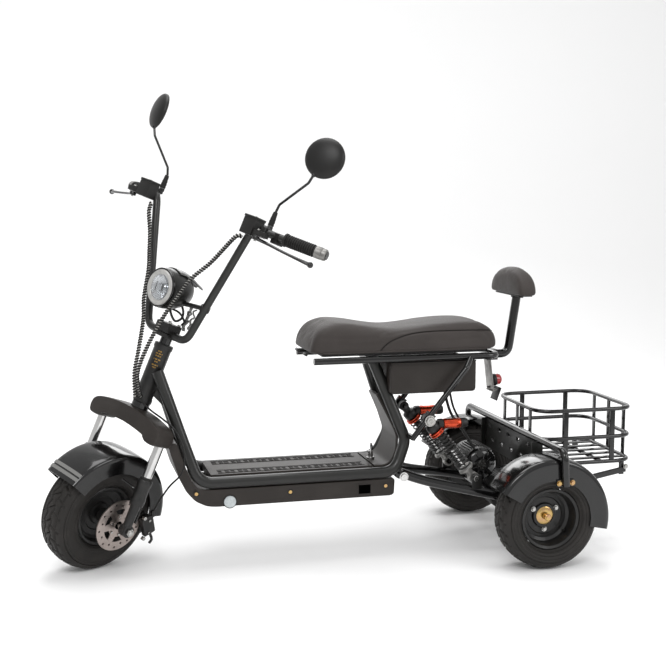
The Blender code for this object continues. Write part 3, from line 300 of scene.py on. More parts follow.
def drum(radius, start, end, steps=40, top=None, edge=0.0):
    """A cylinder or cone between two points, its rims eased by the given width."""
    start, end = Vector(start), Vector(end)
    top = radius if top is None else top
    length = (end - start).length
    profile = [(0, 0), (radius - edge, 0), (radius, edge), (top, length - edge), (top - edge, length),
               (0, length)]
    if not edge:
        profile = [(0, 0), (radius, 0), (top, length), (0, length)]
    return lathe(profile, steps, False, start, end - start)


def hexagon(radius, start, end):
    return drum(radius, start, end, 6, edge=radius * 0.1)


def sphere(radius, at, rows=14):
    profile = [(radius * math.sin(math.pi * i / rows),
                -radius * math.cos(math.pi * i / rows)) for i in range(rows + 1)]
    return lathe(profile, rows * 2, False, at)


def curved(points, density=6):
    """A smooth curve through the points."""
    points = [Vector(p) for p in points]
    ends = [2 * points[0] - points[1]] + points + [2 * points[-1] - points[-2]]
    found = []
    for i in range(1, len(ends) - 2):
        a, b, c, d = ends[i - 1:i + 3]
        for step in range(density):
            t = step / density
            found.append(0.5 * ((2 * b) + (c - a) * t + (2 * a - 5 * b + 4 * c - d) * t * t
                                + (3 * b - a - 3 * c + d) * t ** 3))
    return found + [points[-1]]


def rounded(points, radius, density=8):
    """Straight runs between the points, with a bend of about this radius at each corner."""
    points = [Vector(p) for p in points]
    found = [points[0]]
    for before, corner, after in zip(points, points[1:], points[2:]):
        into, out = (before - corner).normalized(), (after - corner).normalized()
        half = into.angle(out) / 2
        reach = min(radius / math.tan(half), 0.48 * (before - corner).length, 0.48 * (after - corner).length)
        start, end = corner + into * reach, corner + out * reach
        for step in range(density + 1):
            t = step / density
            found.append(start * (1 - t) ** 2 + corner * 2 * t * (1 - t) + end * t * t)
    return found + [points[-1]]


def frames_along(points, closed=False):
    """For each point of a path, two directions square to it that turn as little as possible."""
    count = len(points)
    found, across = [], None
    for i, point in enumerate(points):
        ahead = points[(i + 1) % count] if closed or i < count - 1 else point
        behind = points[i - 1] if closed or i else point
        along = (ahead - behind).normalized()
        if across is None:
            across = along.orthogonal().normalized()
        across = (across - along * across.dot(along)).normalized()
        found.append((along, across, along.cross(across)))
    return found


def pipe(points, radius, sides=16, closed=False, squeeze=1.0):
    """A round bar along a path; the radius may differ from point to point, and squeeze flattens it."""
    points = [Vector(p) for p in points]
    count = len(points)
    sizes = radius if isinstance(radius, list) else [radius] * count
    verts, faces = [], []
    for point, size, (_, u, v) in zip(points, sizes, frames_along(points, closed)):
        for k in range(sides):
            a = math.tau * k / sides
            verts.append(point + u * math.cos(a) * size + v * math.sin(a) * size * squeeze)
    for i in range(count if closed else count - 1):
        n = (i + 1) % count
        for k in range(sides):
            m = (k + 1) % sides
            faces.append((i * sides + k, i * sides + m, n * sides + m, n * sides + k))
    if not closed:
        faces.append(tuple(range(sides))[::-1])
        faces.append(tuple(range((count - 1) * sides, count * sides)))
    return verts, faces


def prism(points, thickness):
    """A plate from an outline of (back, up) points, its thickness across the vehicle."""
    count = len(points)
    verts = [(x, y, z) for y in (-thickness / 2, thickness / 2) for x, z in points]
    faces = [(i, (i + 1) % count, (i + 1) % count + count, i + count) for i in range(count)]
    return verts, faces + [tuple(range(count))[::-1], tuple(range(count, 2 * count))]


def block(size, at, lean=0.0):
    """A box, turned about the side direction by lean radians."""
    half = [s / 2 for s in size]
    corners = [(sx * half[0], sy * half[1], sz * half[2]) for sx in (-1, 1) for sy in (-1, 1) for sz in (-1,
                                                                                                         1)]
    faces = [(0, 1, 3, 2), (4, 6, 7, 5), (0, 4, 5, 1), (2, 3, 7, 6), (0, 2, 6, 4), (1, 5, 7, 3)]
    return moved((corners, faces), Matrix.Translation(Vector(at)) @ Matrix.Rotation(lean, 4, "Y"))


def loft(rings):
    """A closed skin through rings of equal length, capped at both ends."""
    count = len(rings[0])
    verts = [p for ring in rings for p in ring]
    faces = [(i * count + j, i * count + (j + 1) % count, (i + 1) * count + (j + 1) % count,
              (i + 1) * count + j)
             for i in range(len(rings) - 1) for j in range(count)]
    faces += [tuple(range(count))[::-1], tuple(range((len(rings) - 1) * count, len(rings) * count))]
    return verts, faces


def sheet_metal(outer, holes, thickness):
    """A plate in the XY plane with holes in it, its thickness centred on Z = 0."""
    data = bpy.data.curves.new("plate", "CURVE")
    data.dimensions = "2D"
    data.fill_mode = "BOTH"
    data.extrude = thickness / 2
    for loop in [outer] + holes:
        spline = data.splines.new("POLY")
        spline.points.add(len(loop) - 1)
        for spot, (x, y) in zip(spline.points, loop):
            spot.co = (x, y, 0, 1)
        spline.use_cyclic_u = True
    obj = bpy.data.objects.new("plate", data)
    bpy.context.scene.collection.objects.link(obj)
    bpy.context.view_layer.update()
    mesh = bpy.data.meshes.new_from_object(obj.evaluated_get(bpy.context.evaluated_depsgraph_get()))
    shape = [tuple(v.co) for v in mesh.vertices], [tuple(p.vertices) for p in mesh.polygons]
    bpy.data.objects.remove(obj)
    bpy.data.meshes.remove(mesh)
    return shape


def ring_of(radius, count=48, middle=(0, 0), start=0.0):
    return [(middle[0] + radius * math.cos(start + math.tau * i / count),
             middle[1] + radius * math.sin(start + math.tau * i / count)) for i in range(count)]


def mirrored(points, side):
    return [Vector((p[0], side * p[1], p[2])) for p in points]


# ---- Making pieces --------------------
def build(name, shapes, material, place=ORIGIN, angle=35, bevel=0.0, segments=2):
    """One mesh object from shapes, in the row frame."""
    work = bmesh.new()
    for points, faces in shapes:
        fresh = [work.verts.new(p) for p in points]
        for face in faces:
            work.faces.new([fresh[i] for i in face])
        bmesh.ops.remove_doubles(work, verts=fresh, dist=0.000002)
    bmesh.ops.recalc_face_normals(work, faces=work.faces)
    if bevel:
        sharp = [e for e in work.edges if len(e.link_faces) == 2 and e.calc_face_angle(0) > math.radians(28)]
        bmesh.ops.bevel(work, geom=sharp, offset=bevel, segments=segments, profile=0.6, affect="EDGES",
                        clamp_overlap=True)
    mesh = bpy.data.meshes.new(name)
    work.to_mesh(mesh)
    work.free()
    mesh.transform(place)
    mesh.shade_smooth()
    mesh.set_sharp_from_angle(angle=math.radians(angle))
    mesh.materials.append(material)
    obj = bpy.data.objects.new(name, mesh)
    bpy.context.scene.collection.objects.link(obj)
    return obj


def piece(name, shapes, material, body, slot, nodes=(), **how):
    """A built mesh that rides on a body, in the place of the CAD nodes it shows."""
    obj = build(name, shapes, material, **how)
    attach(obj, body)
    if nodes:
        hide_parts(*nodes)
    return obj


def keep(node, material):
    """A CAD node that stays, with a finer material."""
    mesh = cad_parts[node].data
    for i in range(len(mesh.materials)):
        mesh.materials[i] = material
    if not mesh.materials:
        mesh.materials.append(material)


# ---- Wheels --------------------
BEAD_HALF = 0.038
LUGS = 26
GROOVE_HALF = 0.0034
GROOVE_DEPTH = 0.0048
WALL_RING_HALF = 0.0018


def zigzag(turns):
    """From -1 to 1 and back, once a turn."""
    return abs((turns % 1.0) * 2 - 1) * 2 - 1


def tread_cut(turn, r, y, radius, half, bead):
    """How deep the groove is at a point of the tyre, 1 being full depth; below 0 it is a raised ring."""
    cut = 0.0
    if abs(y) < half * 0.92 and r > radius - 0.018:
        for line, swing in ((-0.03, 0.0), (-0.011, 0.0042), (0.011, -0.0042), (0.03, 0.0)):
            cut = max(cut, 1 - abs(y - line - swing * zigzag(turn * LUGS)) / GROOVE_HALF)
        slant = (turn * LUGS + abs(y) * 17) % 1.0
        if 0.0125 < abs(y) < 0.041:
            cut = max(cut, 1 - abs(slant - 0.5) / 0.1)
        if abs(y) < 0.01:
            cut = max(cut, 1 - abs((turn * LUGS + y * 20) % 1.0 - 0.5) / 0.07)
    elif abs(y) > half * 0.86:
        for line in (bead + 0.008, bead + 0.017, radius - 0.031, radius - 0.022):
            cut -= 0.55 * max(0, 1 - abs(r - line) / WALL_RING_HALF)
    return max(-1, min(1, cut * 2.0))


def tyre(radius, width, around=520):
    """A tyre with zigzag grooves round its crown, slanted cuts on its shoulders and rings on its walls."""
    half = width / 2
    bead = RIM_LIP - 0.004
    side = [(bead + 0.0005, BEAD_HALF), (bead + 0.004, half * 0.8), (bead + 0.01, half * 0.93),
            ((radius + bead) / 2, half), (radius - 0.024, half * 0.985), (radius - 0.0125, half * 0.86)]
    crown = [(radius - 0.0062, half * 0.7), (radius - 0.002, half * 0.42), (radius, 0.0)]
    points = [Vector((r, 0, y)) for r, y in side + crown]
    points += [Vector((p.x, 0, -p.z)) for p in reversed(points[:-1])]
    path = curved(points, 12)
    spaced, last = [path[0]], 0.0
    for a, b in zip(path, path[1:]):
        last += (b - a).length
        if last >= 0.0017:
            spaced.append(b)
            last = 0.0
    spaced.append(path[-1])
    section = [(p.x, p.z) for p in spaced]
    count = len(section)
    verts, faces = [], []
    for i in range(around):
        turn = i / around
        a = math.tau * turn
        for r, y in section:
            deep = GROOVE_DEPTH * tread_cut(turn, r, y, radius, half, bead)
            if abs(y) > half * 0.86:
                y, deep = y - math.copysign(deep, y) * 0.6, 0.0
            verts.append(((r - deep) * math.cos(a), (r - deep) * math.sin(a), y))
    for i in range(around):
        k = (i + 1) % around
        for j in range(count - 1):
            faces.append((i * count + j, k * count + j, k * count + j + 1, i * count + j + 1))
        faces.append((i * count + count - 1, k * count + count - 1, k * count, i * count))
    return moved((verts, faces), Matrix.Rotation(-math.pi / 2, 4, "X"))


def y_lathe(profile, steps=64, closed=False, at=(0, 0, 0)):
    """Turned about the side direction; positive values along it lie on the right."""
    return lathe(profile, steps, closed, at, (0, 1, 0))


def rim(half, hub_face, hub_radius, bore, side):
    """A pressed rim: rolled lips, barrel, stepped disc and hub. side says which way it is dished."""
    lip, well = RIM_LIP - 0.005, 0.075
    outer = [(lip - 0.002, half), (lip, half - 0.0015), (lip - 0.001, half - 0.004),
             (lip - 0.006, half - 0.007),
             (lip - 0.006, -half + 0.007), (lip - 0.001, -half + 0.004), (lip, -half + 0.0015),
             (lip - 0.002, -half),
             (well + 0.002, -half), (well, -half + 0.003)]
    disc = [(well - 0.002, hub_face - 0.008), (well - 0.008, hub_face - 0.004),
            (hub_radius + 0.014, hub_face - 0.002),
            (hub_radius + 0.01, hub_face - 0.005), (hub_radius, hub_face - 0.005), (hub_radius, -half * 0.6),
            (bore, -half * 0.6), (bore, hub_face + 0.007), (hub_radius, hub_face + 0.007),
            (hub_radius + 0.003, hub_face + 0.001), (hub_radius + 0.018, hub_face + 0.002),
            (hub_radius + 0.021, hub_face + 0.006), (well - 0.01, hub_face + 0.005),
            (well - 0.002, hub_face + 0.01)]
    profile = [(r, side * y) for r, y in outer + disc + [(well, half - 0.01), (well + 0.004, half - 0.003)]]
    return y_lathe(profile, 72, True)


def front_wheel():
    piece("front_tyre_tread", [tyre(*FRONT_TYRE)], RUBBER, "front_wheel", "rubber", ["front_tyre"],
          place=FRONT_AXLE, angle=50)
    piece("front_rim_dished", [rim(BEAD_HALF, 0.01, 0.03, 0.0105, -1)], CAST, "front_wheel", "black_paint",
          ["front_rim"], place=FRONT_AXLE)
    holes = []
    for i in range(18):
        a = math.tau * i / 18
        reach = 0.0655 if i % 2 else 0.059
        holes.append(ring_of(0.0032, 16, (reach * math.cos(a), reach * math.sin(a))))
    for i in range(6):
        start = math.tau * i / 6
        arcs = [(0.049, a) for a in np.linspace(0.12, 0.78, 8)]
        arcs += [(0.0335, a) for a in np.linspace(0.62, 0.2, 6)]
        holes.append([(r * math.cos(start + a), r * math.sin(start + a)) for r, a in arcs])
    plate = sheet_metal(ring_of(DISC_RADIUS - 0.0003, 120), holes + [ring_of(0.012, 32)], 0.0038)
    plate = moved(plate, Matrix.Translation((0, -DISC_SIDE, 0)) @ Matrix.Rotation(math.pi / 2, 4, "X"))
    hub = y_lathe([(0.0108, 0.074), (0.0215, 0.074), (0.0218, 0.03), (0.025, 0.004), (0.025, 0.002),
                   (0.0108, 0.002)][::-1], 40, True, (0, -DISC_SIDE, 0))
    piece("brake_disc_drilled", [plate], BRUSHED, "front_wheel", "steel", ["brake_disc"], place=FRONT_AXLE)
    piece("front_hub", [hub], CAST, "front_wheel", "black_paint", place=FRONT_AXLE)
    bolts = []
    for x, z in ring_of(0.0275, 6, start=math.pi / 6):
        spot = Vector((x, -DISC_SIDE - 0.002, z))
        bolts.append(hexagon(0.0036, spot, spot - Vector((0, 0.0036, 0))))
    piece("disc_bolts", bolts, ZINC, "front_wheel", "steel", place=FRONT_AXLE)


def rear_wheels():
    for name, side in SIDES.items():
        body = f"rear_wheel_{name}"
        place = REAR_AXLE @ Matrix.Translation((0, side * TRACK / 2, 0))
        piece(f"rear_tyre_{name}_tread", [tyre(*REAR_TYRE, 460)], RUBBER, body, "rubber",
              [f"rear_tyre_{name}"], place=place, angle=50)
        piece(f"rear_rim_{name}_dished", [rim(BEAD_HALF, -0.01, 0.034, 0.0105, side)], CAST, body,
              "black_paint",
              [f"rear_rim_{name}"], place=place)
        face = side * -0.003
        washer = y_lathe([(0.0105, face), (0.0105, face + side * 0.0035), (0.021, face + side * 0.0035),
                          (0.0262, face + side * 0.001), (0.0262, face)], 48, True)
        bolts = []
        for x, z in ring_of(0.04, 3, start=-side * math.pi / 6):
            spot = Vector((x, side * -0.006, z))
            bolts += [drum(0.0075, spot, spot + Vector((0, side * 0.0016, 0))),
                      hexagon(0.0058, spot + Vector((0, side * 0.0016, 0)),
                              spot + Vector((0, side * 0.007, 0)))]
        piece(f"hub_washer_{name}", [washer], BRASS, body, "steel", place=place)
        piece(f"wheel_bolts_{name}", bolts, ZINC, body, "steel", place=place)
        a = math.radians(-38)
        foot = Vector((0.07 * math.cos(a), side * 0.004, 0.07 * math.sin(a)))
        valve = [drum(0.0052, foot, foot + Vector((-0.006, side * 0.01, 0.005)), 20, 0.0042, 0.0006),
                 drum(0.0034, foot + Vector((-0.006, side * 0.01, 0.005)),
                      foot + Vector((-0.012, side * 0.02, 0.01)), 20,
                      0.0034, 0.0005)]
        piece(f"valve_{name}", valve, GRIP, body, "rubber", place=place)


# ---- Fork --------------------
def fork():
    keep("fork_crown", GLOSS)
    for name, side in SIDES.items():
        y = side * LEG_SIDE
        piece(f"stanchion_{name}_tube", [drum(STANCHION, (0, y, 0.317), (0, y, 0.467), 48, edge=0.0006)],
              CHROME,
              "steering", "chrome", [f"stanchion_{name}"], place=STEERED)
        out = side * (LEG_SIDE + 0.006)
        bore = STANCHION + 0.0005
        sleeve = lathe([(bore, 0.25), (0.02, 0.25), (0.0212, 0.262), (0.0212, 0.268), (0.0196, 0.272),
                        (0.019, 0.306),
                        (0.0206, 0.31), (0.0206, 0.322), (0.019, 0.325), (bore, 0.325)], 48, True, (0, y, 0))
        route = curved([(-0.001, y, 0.267), (-0.003, side * 0.133, 0.248), (-0.007, side * 0.1365, 0.225),
                        (AXLE_BACK - 0.002, out, AXLE_ALONG)], 6)
        sizes = [0.0185, *[0.0185 - 0.004 * i / (len(route) - 2) for i in range(len(route) - 1)]]
        blade = pipe(route, sizes, 28, squeeze=0.86)
        boss = lathe([(0.008, -0.0135), (0.0165, -0.0135), (0.0178, -0.012), (0.0178, 0.012),
                      (0.0165, 0.0135),
                      (0.008, 0.0135)], 40, True, (AXLE_BACK, out, AXLE_ALONG), (0, 1, 0))
        rib = block((0.005, 0.008, 0.06), (0.015, out, 0.23))
        piece(f"fork_slider_{name}_casting", [sleeve, blade, boss, rib], CAST, "fork_lower", "black_paint",
              [f"fork_slider_{name}"], place=STEERED)
        seal = lathe([(bore, 0.325), (0.0175, 0.325), (0.018, 0.33), (bore, 0.333)], 40, True, (0, y, 0))
        piece(f"fork_seal_{name}", [seal], GRIP, "fork_lower", "rubber", place=STEERED)
    shaft = drum(0.0072, (0, -0.1508, 0), (0, 0.163, 0), 32, edge=0.0008)
    nut = hexagon(0.0118, (0, -0.1508, 0), (0, -0.158, 0))
    dome = lathe([(0.0085, 0.0), (0.0078, 0.0035), (0.0045, 0.0055), (0, 0.006)], 24, False, (0, -0.1575, 0),
                 (0, -1, 0))
    far = hexagon(0.0118, (0, 0.1505, 0), (0, 0.159, 0))
    piece("front_axle_nuts", [shaft, nut, dome, far], ZINC, "fork_lower", "chrome", ["front_axle"],
          place=FRONT_AXLE)


def crown_cover():
    """The moulded cover over the fork crown: rounded at its edges, drooping over the legs."""
    top = curved([(-0.1535, 0, 0.444), (-0.15, 0, 0.462), (-0.136, 0, 0.474), (-0.11, 0, 0.482),
                  (-0.06, 0, 0.4905),
                  (0.0, 0, 0.494), (0.06, 0, 0.4905), (0.11, 0, 0.482), (0.136, 0, 0.474), (0.15, 0, 0.462),
                  (0.1535, 0, 0.444)], 3)
    under = curved([(0.15, 0, 0.43), (0.14, 0, 0.4245), (0.112, 0, 0.4245), (0.098, 0, 0.432),
                    (0.086, 0, 0.439),
                    (0.0, 0, 0.446), (-0.086, 0, 0.439), (-0.098, 0, 0.432), (-0.112, 0, 0.4245),
                    (-0.14, 0, 0.4245), (-0.15, 0, 0.43)], 3)
    loop = [(p.x, p.z) for p in top + under]
    middle = (0.0, 0.46)
    rings = []
    for back, scale in ((-0.042, 0.9), (-0.0412, 0.955), (-0.0385, 0.985), (-0.034, 1.0), (0.015, 1.0),
                        (0.02, 0.985),
                        (0.022, 0.955)):
        rings.append([(back, middle[0] + (y - middle[0]) * (1 - (1 - scale) * 0.28),
                       middle[1] + (z - middle[1]) * scale) for y, z in loop])
    piece("crown_cover_moulding", [loft(rings)], PLASTIC, "steering", "black_plastic", ["crown_cover"],
          place=STEERED,
          angle=40)


def arch(outer, half, skirt, start, end, lips, thick=0.003, steps=64, roll=0.0018):
    """A wheel arch with crowned top, rolled edges and skirts on the chosen sides."""
    left = [(outer - skirt, -half), (outer - 0.022, -half), (outer - 0.012, -half * 0.985)] if lips[0] else []
    right = [(outer - 0.012, half * 0.985), (outer - 0.022, half), (outer - skirt, half)] if lips[1] else []
    crown = [(outer - 0.0045, -half * 0.9), (outer - 0.0015, -half * 0.62), (outer, 0.0),
             (outer - 0.0015, half * 0.62), (outer - 0.0045, half * 0.9)]
    line = curved([Vector((r, y, 0)) for r, y in left + crown + right], 4)
    outside, inside = [], []
    for i, p in enumerate(line):
        a, b = line[max(0, i - 1)], line[min(len(line) - 1, i + 1)]
        along = (b - a).normalized()
        normal = Vector((along.y, -along.x, 0))
        swell = roll if i in (0, len(line) - 1) else 0.0
        outside.append(p + normal * (thick / 2 + swell * 0.4))
        inside.append(p - normal * (thick / 2 + swell * 0.4))
    loop = outside + inside[::-1]
    rings = []
    for i in range(steps + 1):
        a = math.radians(start + (end - start) * i / steps)
        rings.append([(p.x * math.cos(a), p.y, p.x * math.sin(a)) for p in loop])
    return loft(rings)


def front_fender():
    piece("front_fender_arch", [arch(0.194, 0.065, 0.056, -12, 133, (True, True))], GLOSS, "fork_lower",
          "black_paint", ["front_fender"], place=FRONT_AXLE, angle=45)
    strips = []
    for angle in (123.5, 127.8):
        rings = []
        for a in (angle - 1.45, angle + 1.45):
            t = math.radians(a)
            row = []
            for r0 in (0.1956, 0.1972):
                ys = np.linspace(-0.06, 0.06, 13)
                row += [(r0 - 0.004 * (abs(y) / 0.06) ** 3, y) for y in (ys if r0 < 0.196 else ys[::-1])]
            rings.append([(r * math.cos(t), y, r * math.sin(t)) for r, y in row])
        strips.append(loft(rings))
    piece("fender_strips", strips, SILVER_FOIL, "fork_lower", "steel", place=FRONT_AXLE)
    struts = []
    for side in (-1, 1):
        struts.append(pipe(curved([(0.03, side * 0.0655, 0.12), (0.05, side * 0.09, 0.1),
                                   (0.052, side * 0.1135, 0.094)], 5),
                           0.0035, 10))
    piece("fender_struts", struts, GLOSS, "fork_lower", "black_paint", place=FRONT_AXLE)


def caliper():
    a = math.radians(-14)
    x, z = 0.088 * math.cos(a), 0.088 * math.sin(a)
    tilt = -0.25
    shapes = [block((0.034, 0.016, 0.058), (x + 0.006, -DISC_SIDE - 0.0125, z), tilt),
              block((0.034, 0.015, 0.058), (x + 0.006, -DISC_SIDE + 0.0125, z), tilt),
              block((0.016, 0.04, 0.05), (x + 0.02, -DISC_SIDE, z), tilt)]
    piece("brake_caliper_body", shapes, CAST, "fork_lower", "black_paint", ["brake_caliper"],
          place=FRONT_AXLE,
          bevel=0.003)
    bolts = []
    for dz in (-0.02, 0.018):
        spot = Vector((x + 0.008, -DISC_SIDE - 0.0205, z + dz))
        bolts.append(hexagon(0.0042, spot, spot - Vector((0, 0.004, 0))))
    for dz in (-0.034, 0.03):
        spot = Vector((x - 0.01, -DISC_SIDE - 0.015, z + dz))
        bolts.append(drum(0.0055, spot, spot - Vector((0, 0.01, 0)), 24, edge=0.0008))
    piece("caliper_bolts", bolts, ZINC, "fork_lower", "steel", place=FRONT_AXLE)
    arm = [pipe(curved([(x + 0.01, -DISC_SIDE - 0.022, z - 0.02), (x + 0.016, -DISC_SIDE - 0.026, z - 0.04),
                        (x + 0.008, -DISC_SIDE - 0.026, z - 0.052)], 5), 0.004, 12),
           block((0.01, 0.008, 0.02), (x + 0.022, -DISC_SIDE - 0.016, z + 0.034), tilt)]
    piece("caliper_lever", arm, CAST, "fork_lower", "black_paint", place=FRONT_AXLE)


# ---- Handlebar --------------------
def handlebar():
    half = rounded([(-0.01, 0.0, 0.722), (-0.008, 0.084, 0.718), BAR_CORNER, GRIP_OUT], 0.04, 9)
    points = [Vector((p[0], -p[1], p[2])) for p in reversed(half)] + half[1:]
    piece("handlebar_tube", [pipe(points, BAR_RADIUS, 24)], SATIN, "steering", "black_paint", ["handlebar"],
          place=STEERED, angle=60)
    clamp = [block((0.052, 0.06, 0.0125), (-0.006, 0, 0.713)), block((0.05, 0.056, 0.028), (-0.01, 0, 0.735))]
    piece("bar_clamp", clamp, CAST, "steering", "black_paint", place=STEERED, bevel=0.0025)
    bolts = []
    for x in (-0.027, 0.008):
        for y in (-0.02, 0.02):
            bolts += [drum(0.005, (x, y, 0.749), (x, y, 0.754), 24, edge=0.0006)]
    piece("clamp_bolts", bolts, ZINC, "steering", "steel", place=STEERED)


def grips():
    for name, side in SIDES.items():
        inner, outer = mirrored([GRIP_IN, GRIP_OUT], side)
        outer = inner + (outer - inner) * 0.985
        length = (outer - inner).length
        bore = BAR_RADIUS + 0.0004
        profile = [(bore, 0), (0.0175, 0), (0.0186, 0.0012), (0.0186, 0.0055), (0.016, 0.007)]
        ribs, start, stop = 13, 0.01, length - 0.04
        for i in range(ribs):
            z = start + (stop - start) * i / (ribs - 1)
            profile += [(0.0146, z - 0.0018), (0.0172, z - 0.0006), (0.0172, z + 0.0014),
                        (0.0146, z + 0.0024)]
        profile += [(0.016, length - 0.0352), (0.016, length - 0.0322), (bore, length - 0.0322)]
        node, body = ("grip_left", "steering") if side < 0 else ("throttle_grip", "throttle")
        piece(f"{node}_ribbed", [lathe(profile, 48, True, inner, outer - inner)], GRIP, body, "rubber",
              [node],
              place=STEERED, angle=30)
        cap = [(0.0, length), (0.012, length), (0.015, length - 0.002), (0.016, length - 0.005),
               (0.0164, length - 0.012), (0.0156, length - 0.0132), (0.0168, length - 0.015),
               (0.0168, length - 0.0315), (bore, length - 0.0315)]
        piece(f"grip_end_{name}", [lathe(cap, 40, False, inner, outer - inner)], ALLOY, body, "aluminium",
              place=STEERED)


LEVER_PATH = [(-0.087, 0.264, 1.0545), (-0.072, 0.3, 1.051), (-0.06, 0.345, 1.046),
              (-0.045, 0.395, 1.042), (-0.03, 0.426, 1.04)]


def brake_controls():
    for name, side in SIDES.items():
        path = curved(mirrored(LEVER_PATH, side), 7)
        along = [min(1, i / (len(path) - 1) * 1.05) for i in range(len(path))]
        sizes = [0.0062 - 0.0018 * math.sin(math.pi * share) for share in along]
        hub = drum(0.0098, path[0] - Vector((0, 0, 0.0053)), path[0] + Vector((0, 0, 0.0053)), 28, edge=0.001)
        piece(f"brake_lever_{name}_blade", [pipe(path, sizes, 16, squeeze=0.72), sphere(0.0082, path[-1]),
                                            hub], GLOSS,
              f"lever_{name}", "black_paint", [f"brake_lever_{name}"], place=STEERED, angle=60)
        y = side * 0.224
        body = [block((0.038, 0.044, 0.044), (-0.074, y, 1.079)),
                block((0.02, 0.05, 0.0145), (-0.08, side * 0.266, 1.069)),
                block((0.034, 0.024, 0.022), (-0.048, side * 0.238, 1.078))]
        lid = [block((0.0405, 0.0465, 0.0072), (-0.074, y, 1.1046))]
        clamp = [lathe([(BAR_RADIUS + 0.0006, -0.012), (0.017, -0.012), (0.0182, -0.0105), (0.0182, 0.0105),
                        (0.017, 0.012),
                        (BAR_RADIUS + 0.0006, 0.012)], 36, True, (-0.039, side * 0.236, 1.08),
                       mirrored([GRIP_OUT - GRIP_IN], side)[0])]
        piece(f"master_cylinder_{name}_body", body + clamp, DARK_PLASTIC, "steering", "black_plastic",
              [f"master_cylinder_{name}"], place=STEERED, bevel=0.0028)
        piece(f"reservoir_lid_{name}", lid, DARK_PLASTIC, "steering", "black_plastic", place=STEERED,
              bevel=0.0018)
        screws = [drum(0.003, (x, y + dy, 1.108), (x, y + dy, 1.1093), 20, edge=0.0003)
                  for x, dy in ((-0.0885, -0.017), (-0.0595, 0.017))]
        screws += [hexagon(0.005, (-0.087, side * 0.264, 1.0765), (-0.087, side * 0.264, 1.08)),
                   drum(0.0036, (-0.087, side * 0.264, 1.049), (-0.087, side * 0.264, 1.046), 20)]
        piece(f"control_screws_{name}", screws, ZINC, "steering", "steel", place=STEERED)
        switch = [block((0.034, 0.02, 0.03), (-0.018, side * 0.276, 1.074)),
                  block((0.012, 0.016, 0.008), (-0.002, side * 0.274, 1.085))]
        piece(f"switch_pod_{name}", switch, DARK_PLASTIC, "steering", "black_plastic", place=STEERED,
              bevel=0.003)


MIRROR_FOOT = Vector((-0.018, 0.232, 1.1015))
MIRROR_BALL = Vector((-0.045, 0.335, 1.264))
MIRROR_HEAD = Vector((-0.043, 0.347, 1.315))
MIRROR_TOE = math.radians(22)


def mirrors():
    route = [MIRROR_FOOT, MIRROR_FOOT + Vector((0, 0, 0.042)), MIRROR_FOOT + Vector((-0.004, 0.006, 0.062)),
             (-0.04, 0.324, 1.24), MIRROR_BALL]
    for name, side in SIDES.items():
        foot = mirrored([MIRROR_FOOT], side)[0]
        up = Vector((0, 0, 1))
        stem = [pipe(rounded(mirrored(route, side), 0.014, 6), 0.0036, 16),
                sphere(0.0066, mirrored([MIRROR_BALL], side)[0])]
        piece(f"mirror_stem_{name}_rod", stem, GLOSS, f"mirror_arm_{name}", "black_paint",
              [f"mirror_stem_{name}"],
              place=STEERED, angle=60)
        boot = lathe([(0.0, 0.0), (0.008, 0.0), (0.0086, 0.004), (0.0078, 0.008), (0.0086, 0.012),
                      (0.0076, 0.017),
                      (0.008, 0.021), (0.0068, 0.027), (0.007, 0.031), (0.0058, 0.04), (0.0, 0.041)], 28,
                     False, foot, up)
        piece(f"mirror_boot_{name}", [boot], GRIP, f"mirror_arm_{name}", "rubber", place=STEERED)
        nut = hexagon(0.0085, foot - Vector((0, 0, 0.01)), foot - Vector((0, 0, 0.0006)))
        lug = [nut, block((0.022, 0.018, 0.01), foot + Vector((-0.01, 0, -0.013)))]
        piece(f"mirror_lug_{name}", lug, CAST, "steering", "black_paint", place=STEERED, bevel=0.0012)
        place = (STEERED @ Matrix.Translation(mirrored([MIRROR_HEAD],
                                                       side)[0]) @ Matrix.Rotation(-side * MIRROR_TOE, 4, "Z")
                 @ Matrix.Rotation(-math.pi / 2, 4, "Y"))
        back = [(0.0, 0.015)] + [(0.055 * math.sin(t),
                                  -0.004 + 0.019 * math.cos(t)) for t in np.linspace(0.15, 1.45, 14)]
        back += [(0.055, -0.005), (0.0546, -0.0072), (0.053, -0.008), (0.051, -0.008), (0.0508, -0.0066),
                 (0.0, -0.0066)]
        piece(f"mirror_head_{name}_case", [lathe(back, 72)], DARK_PLASTIC, f"mirror_{name}", "black_plastic",
              [f"mirror_head_{name}"], place=place, angle=40)
        glass = lathe([(0.0, -0.0067), (0.0506, -0.0067), (0.0506, -0.0075), (0.0, -0.0075)], 72)
        piece(f"mirror_glass_{name}", [glass], MIRROR, f"mirror_{name}", "clear_lens", place=place)


LAMP = STEERED @ Matrix.Translation((-0.093, 0, 0.836)) @ Matrix.Rotation(math.radians(-7), 4, "Y")


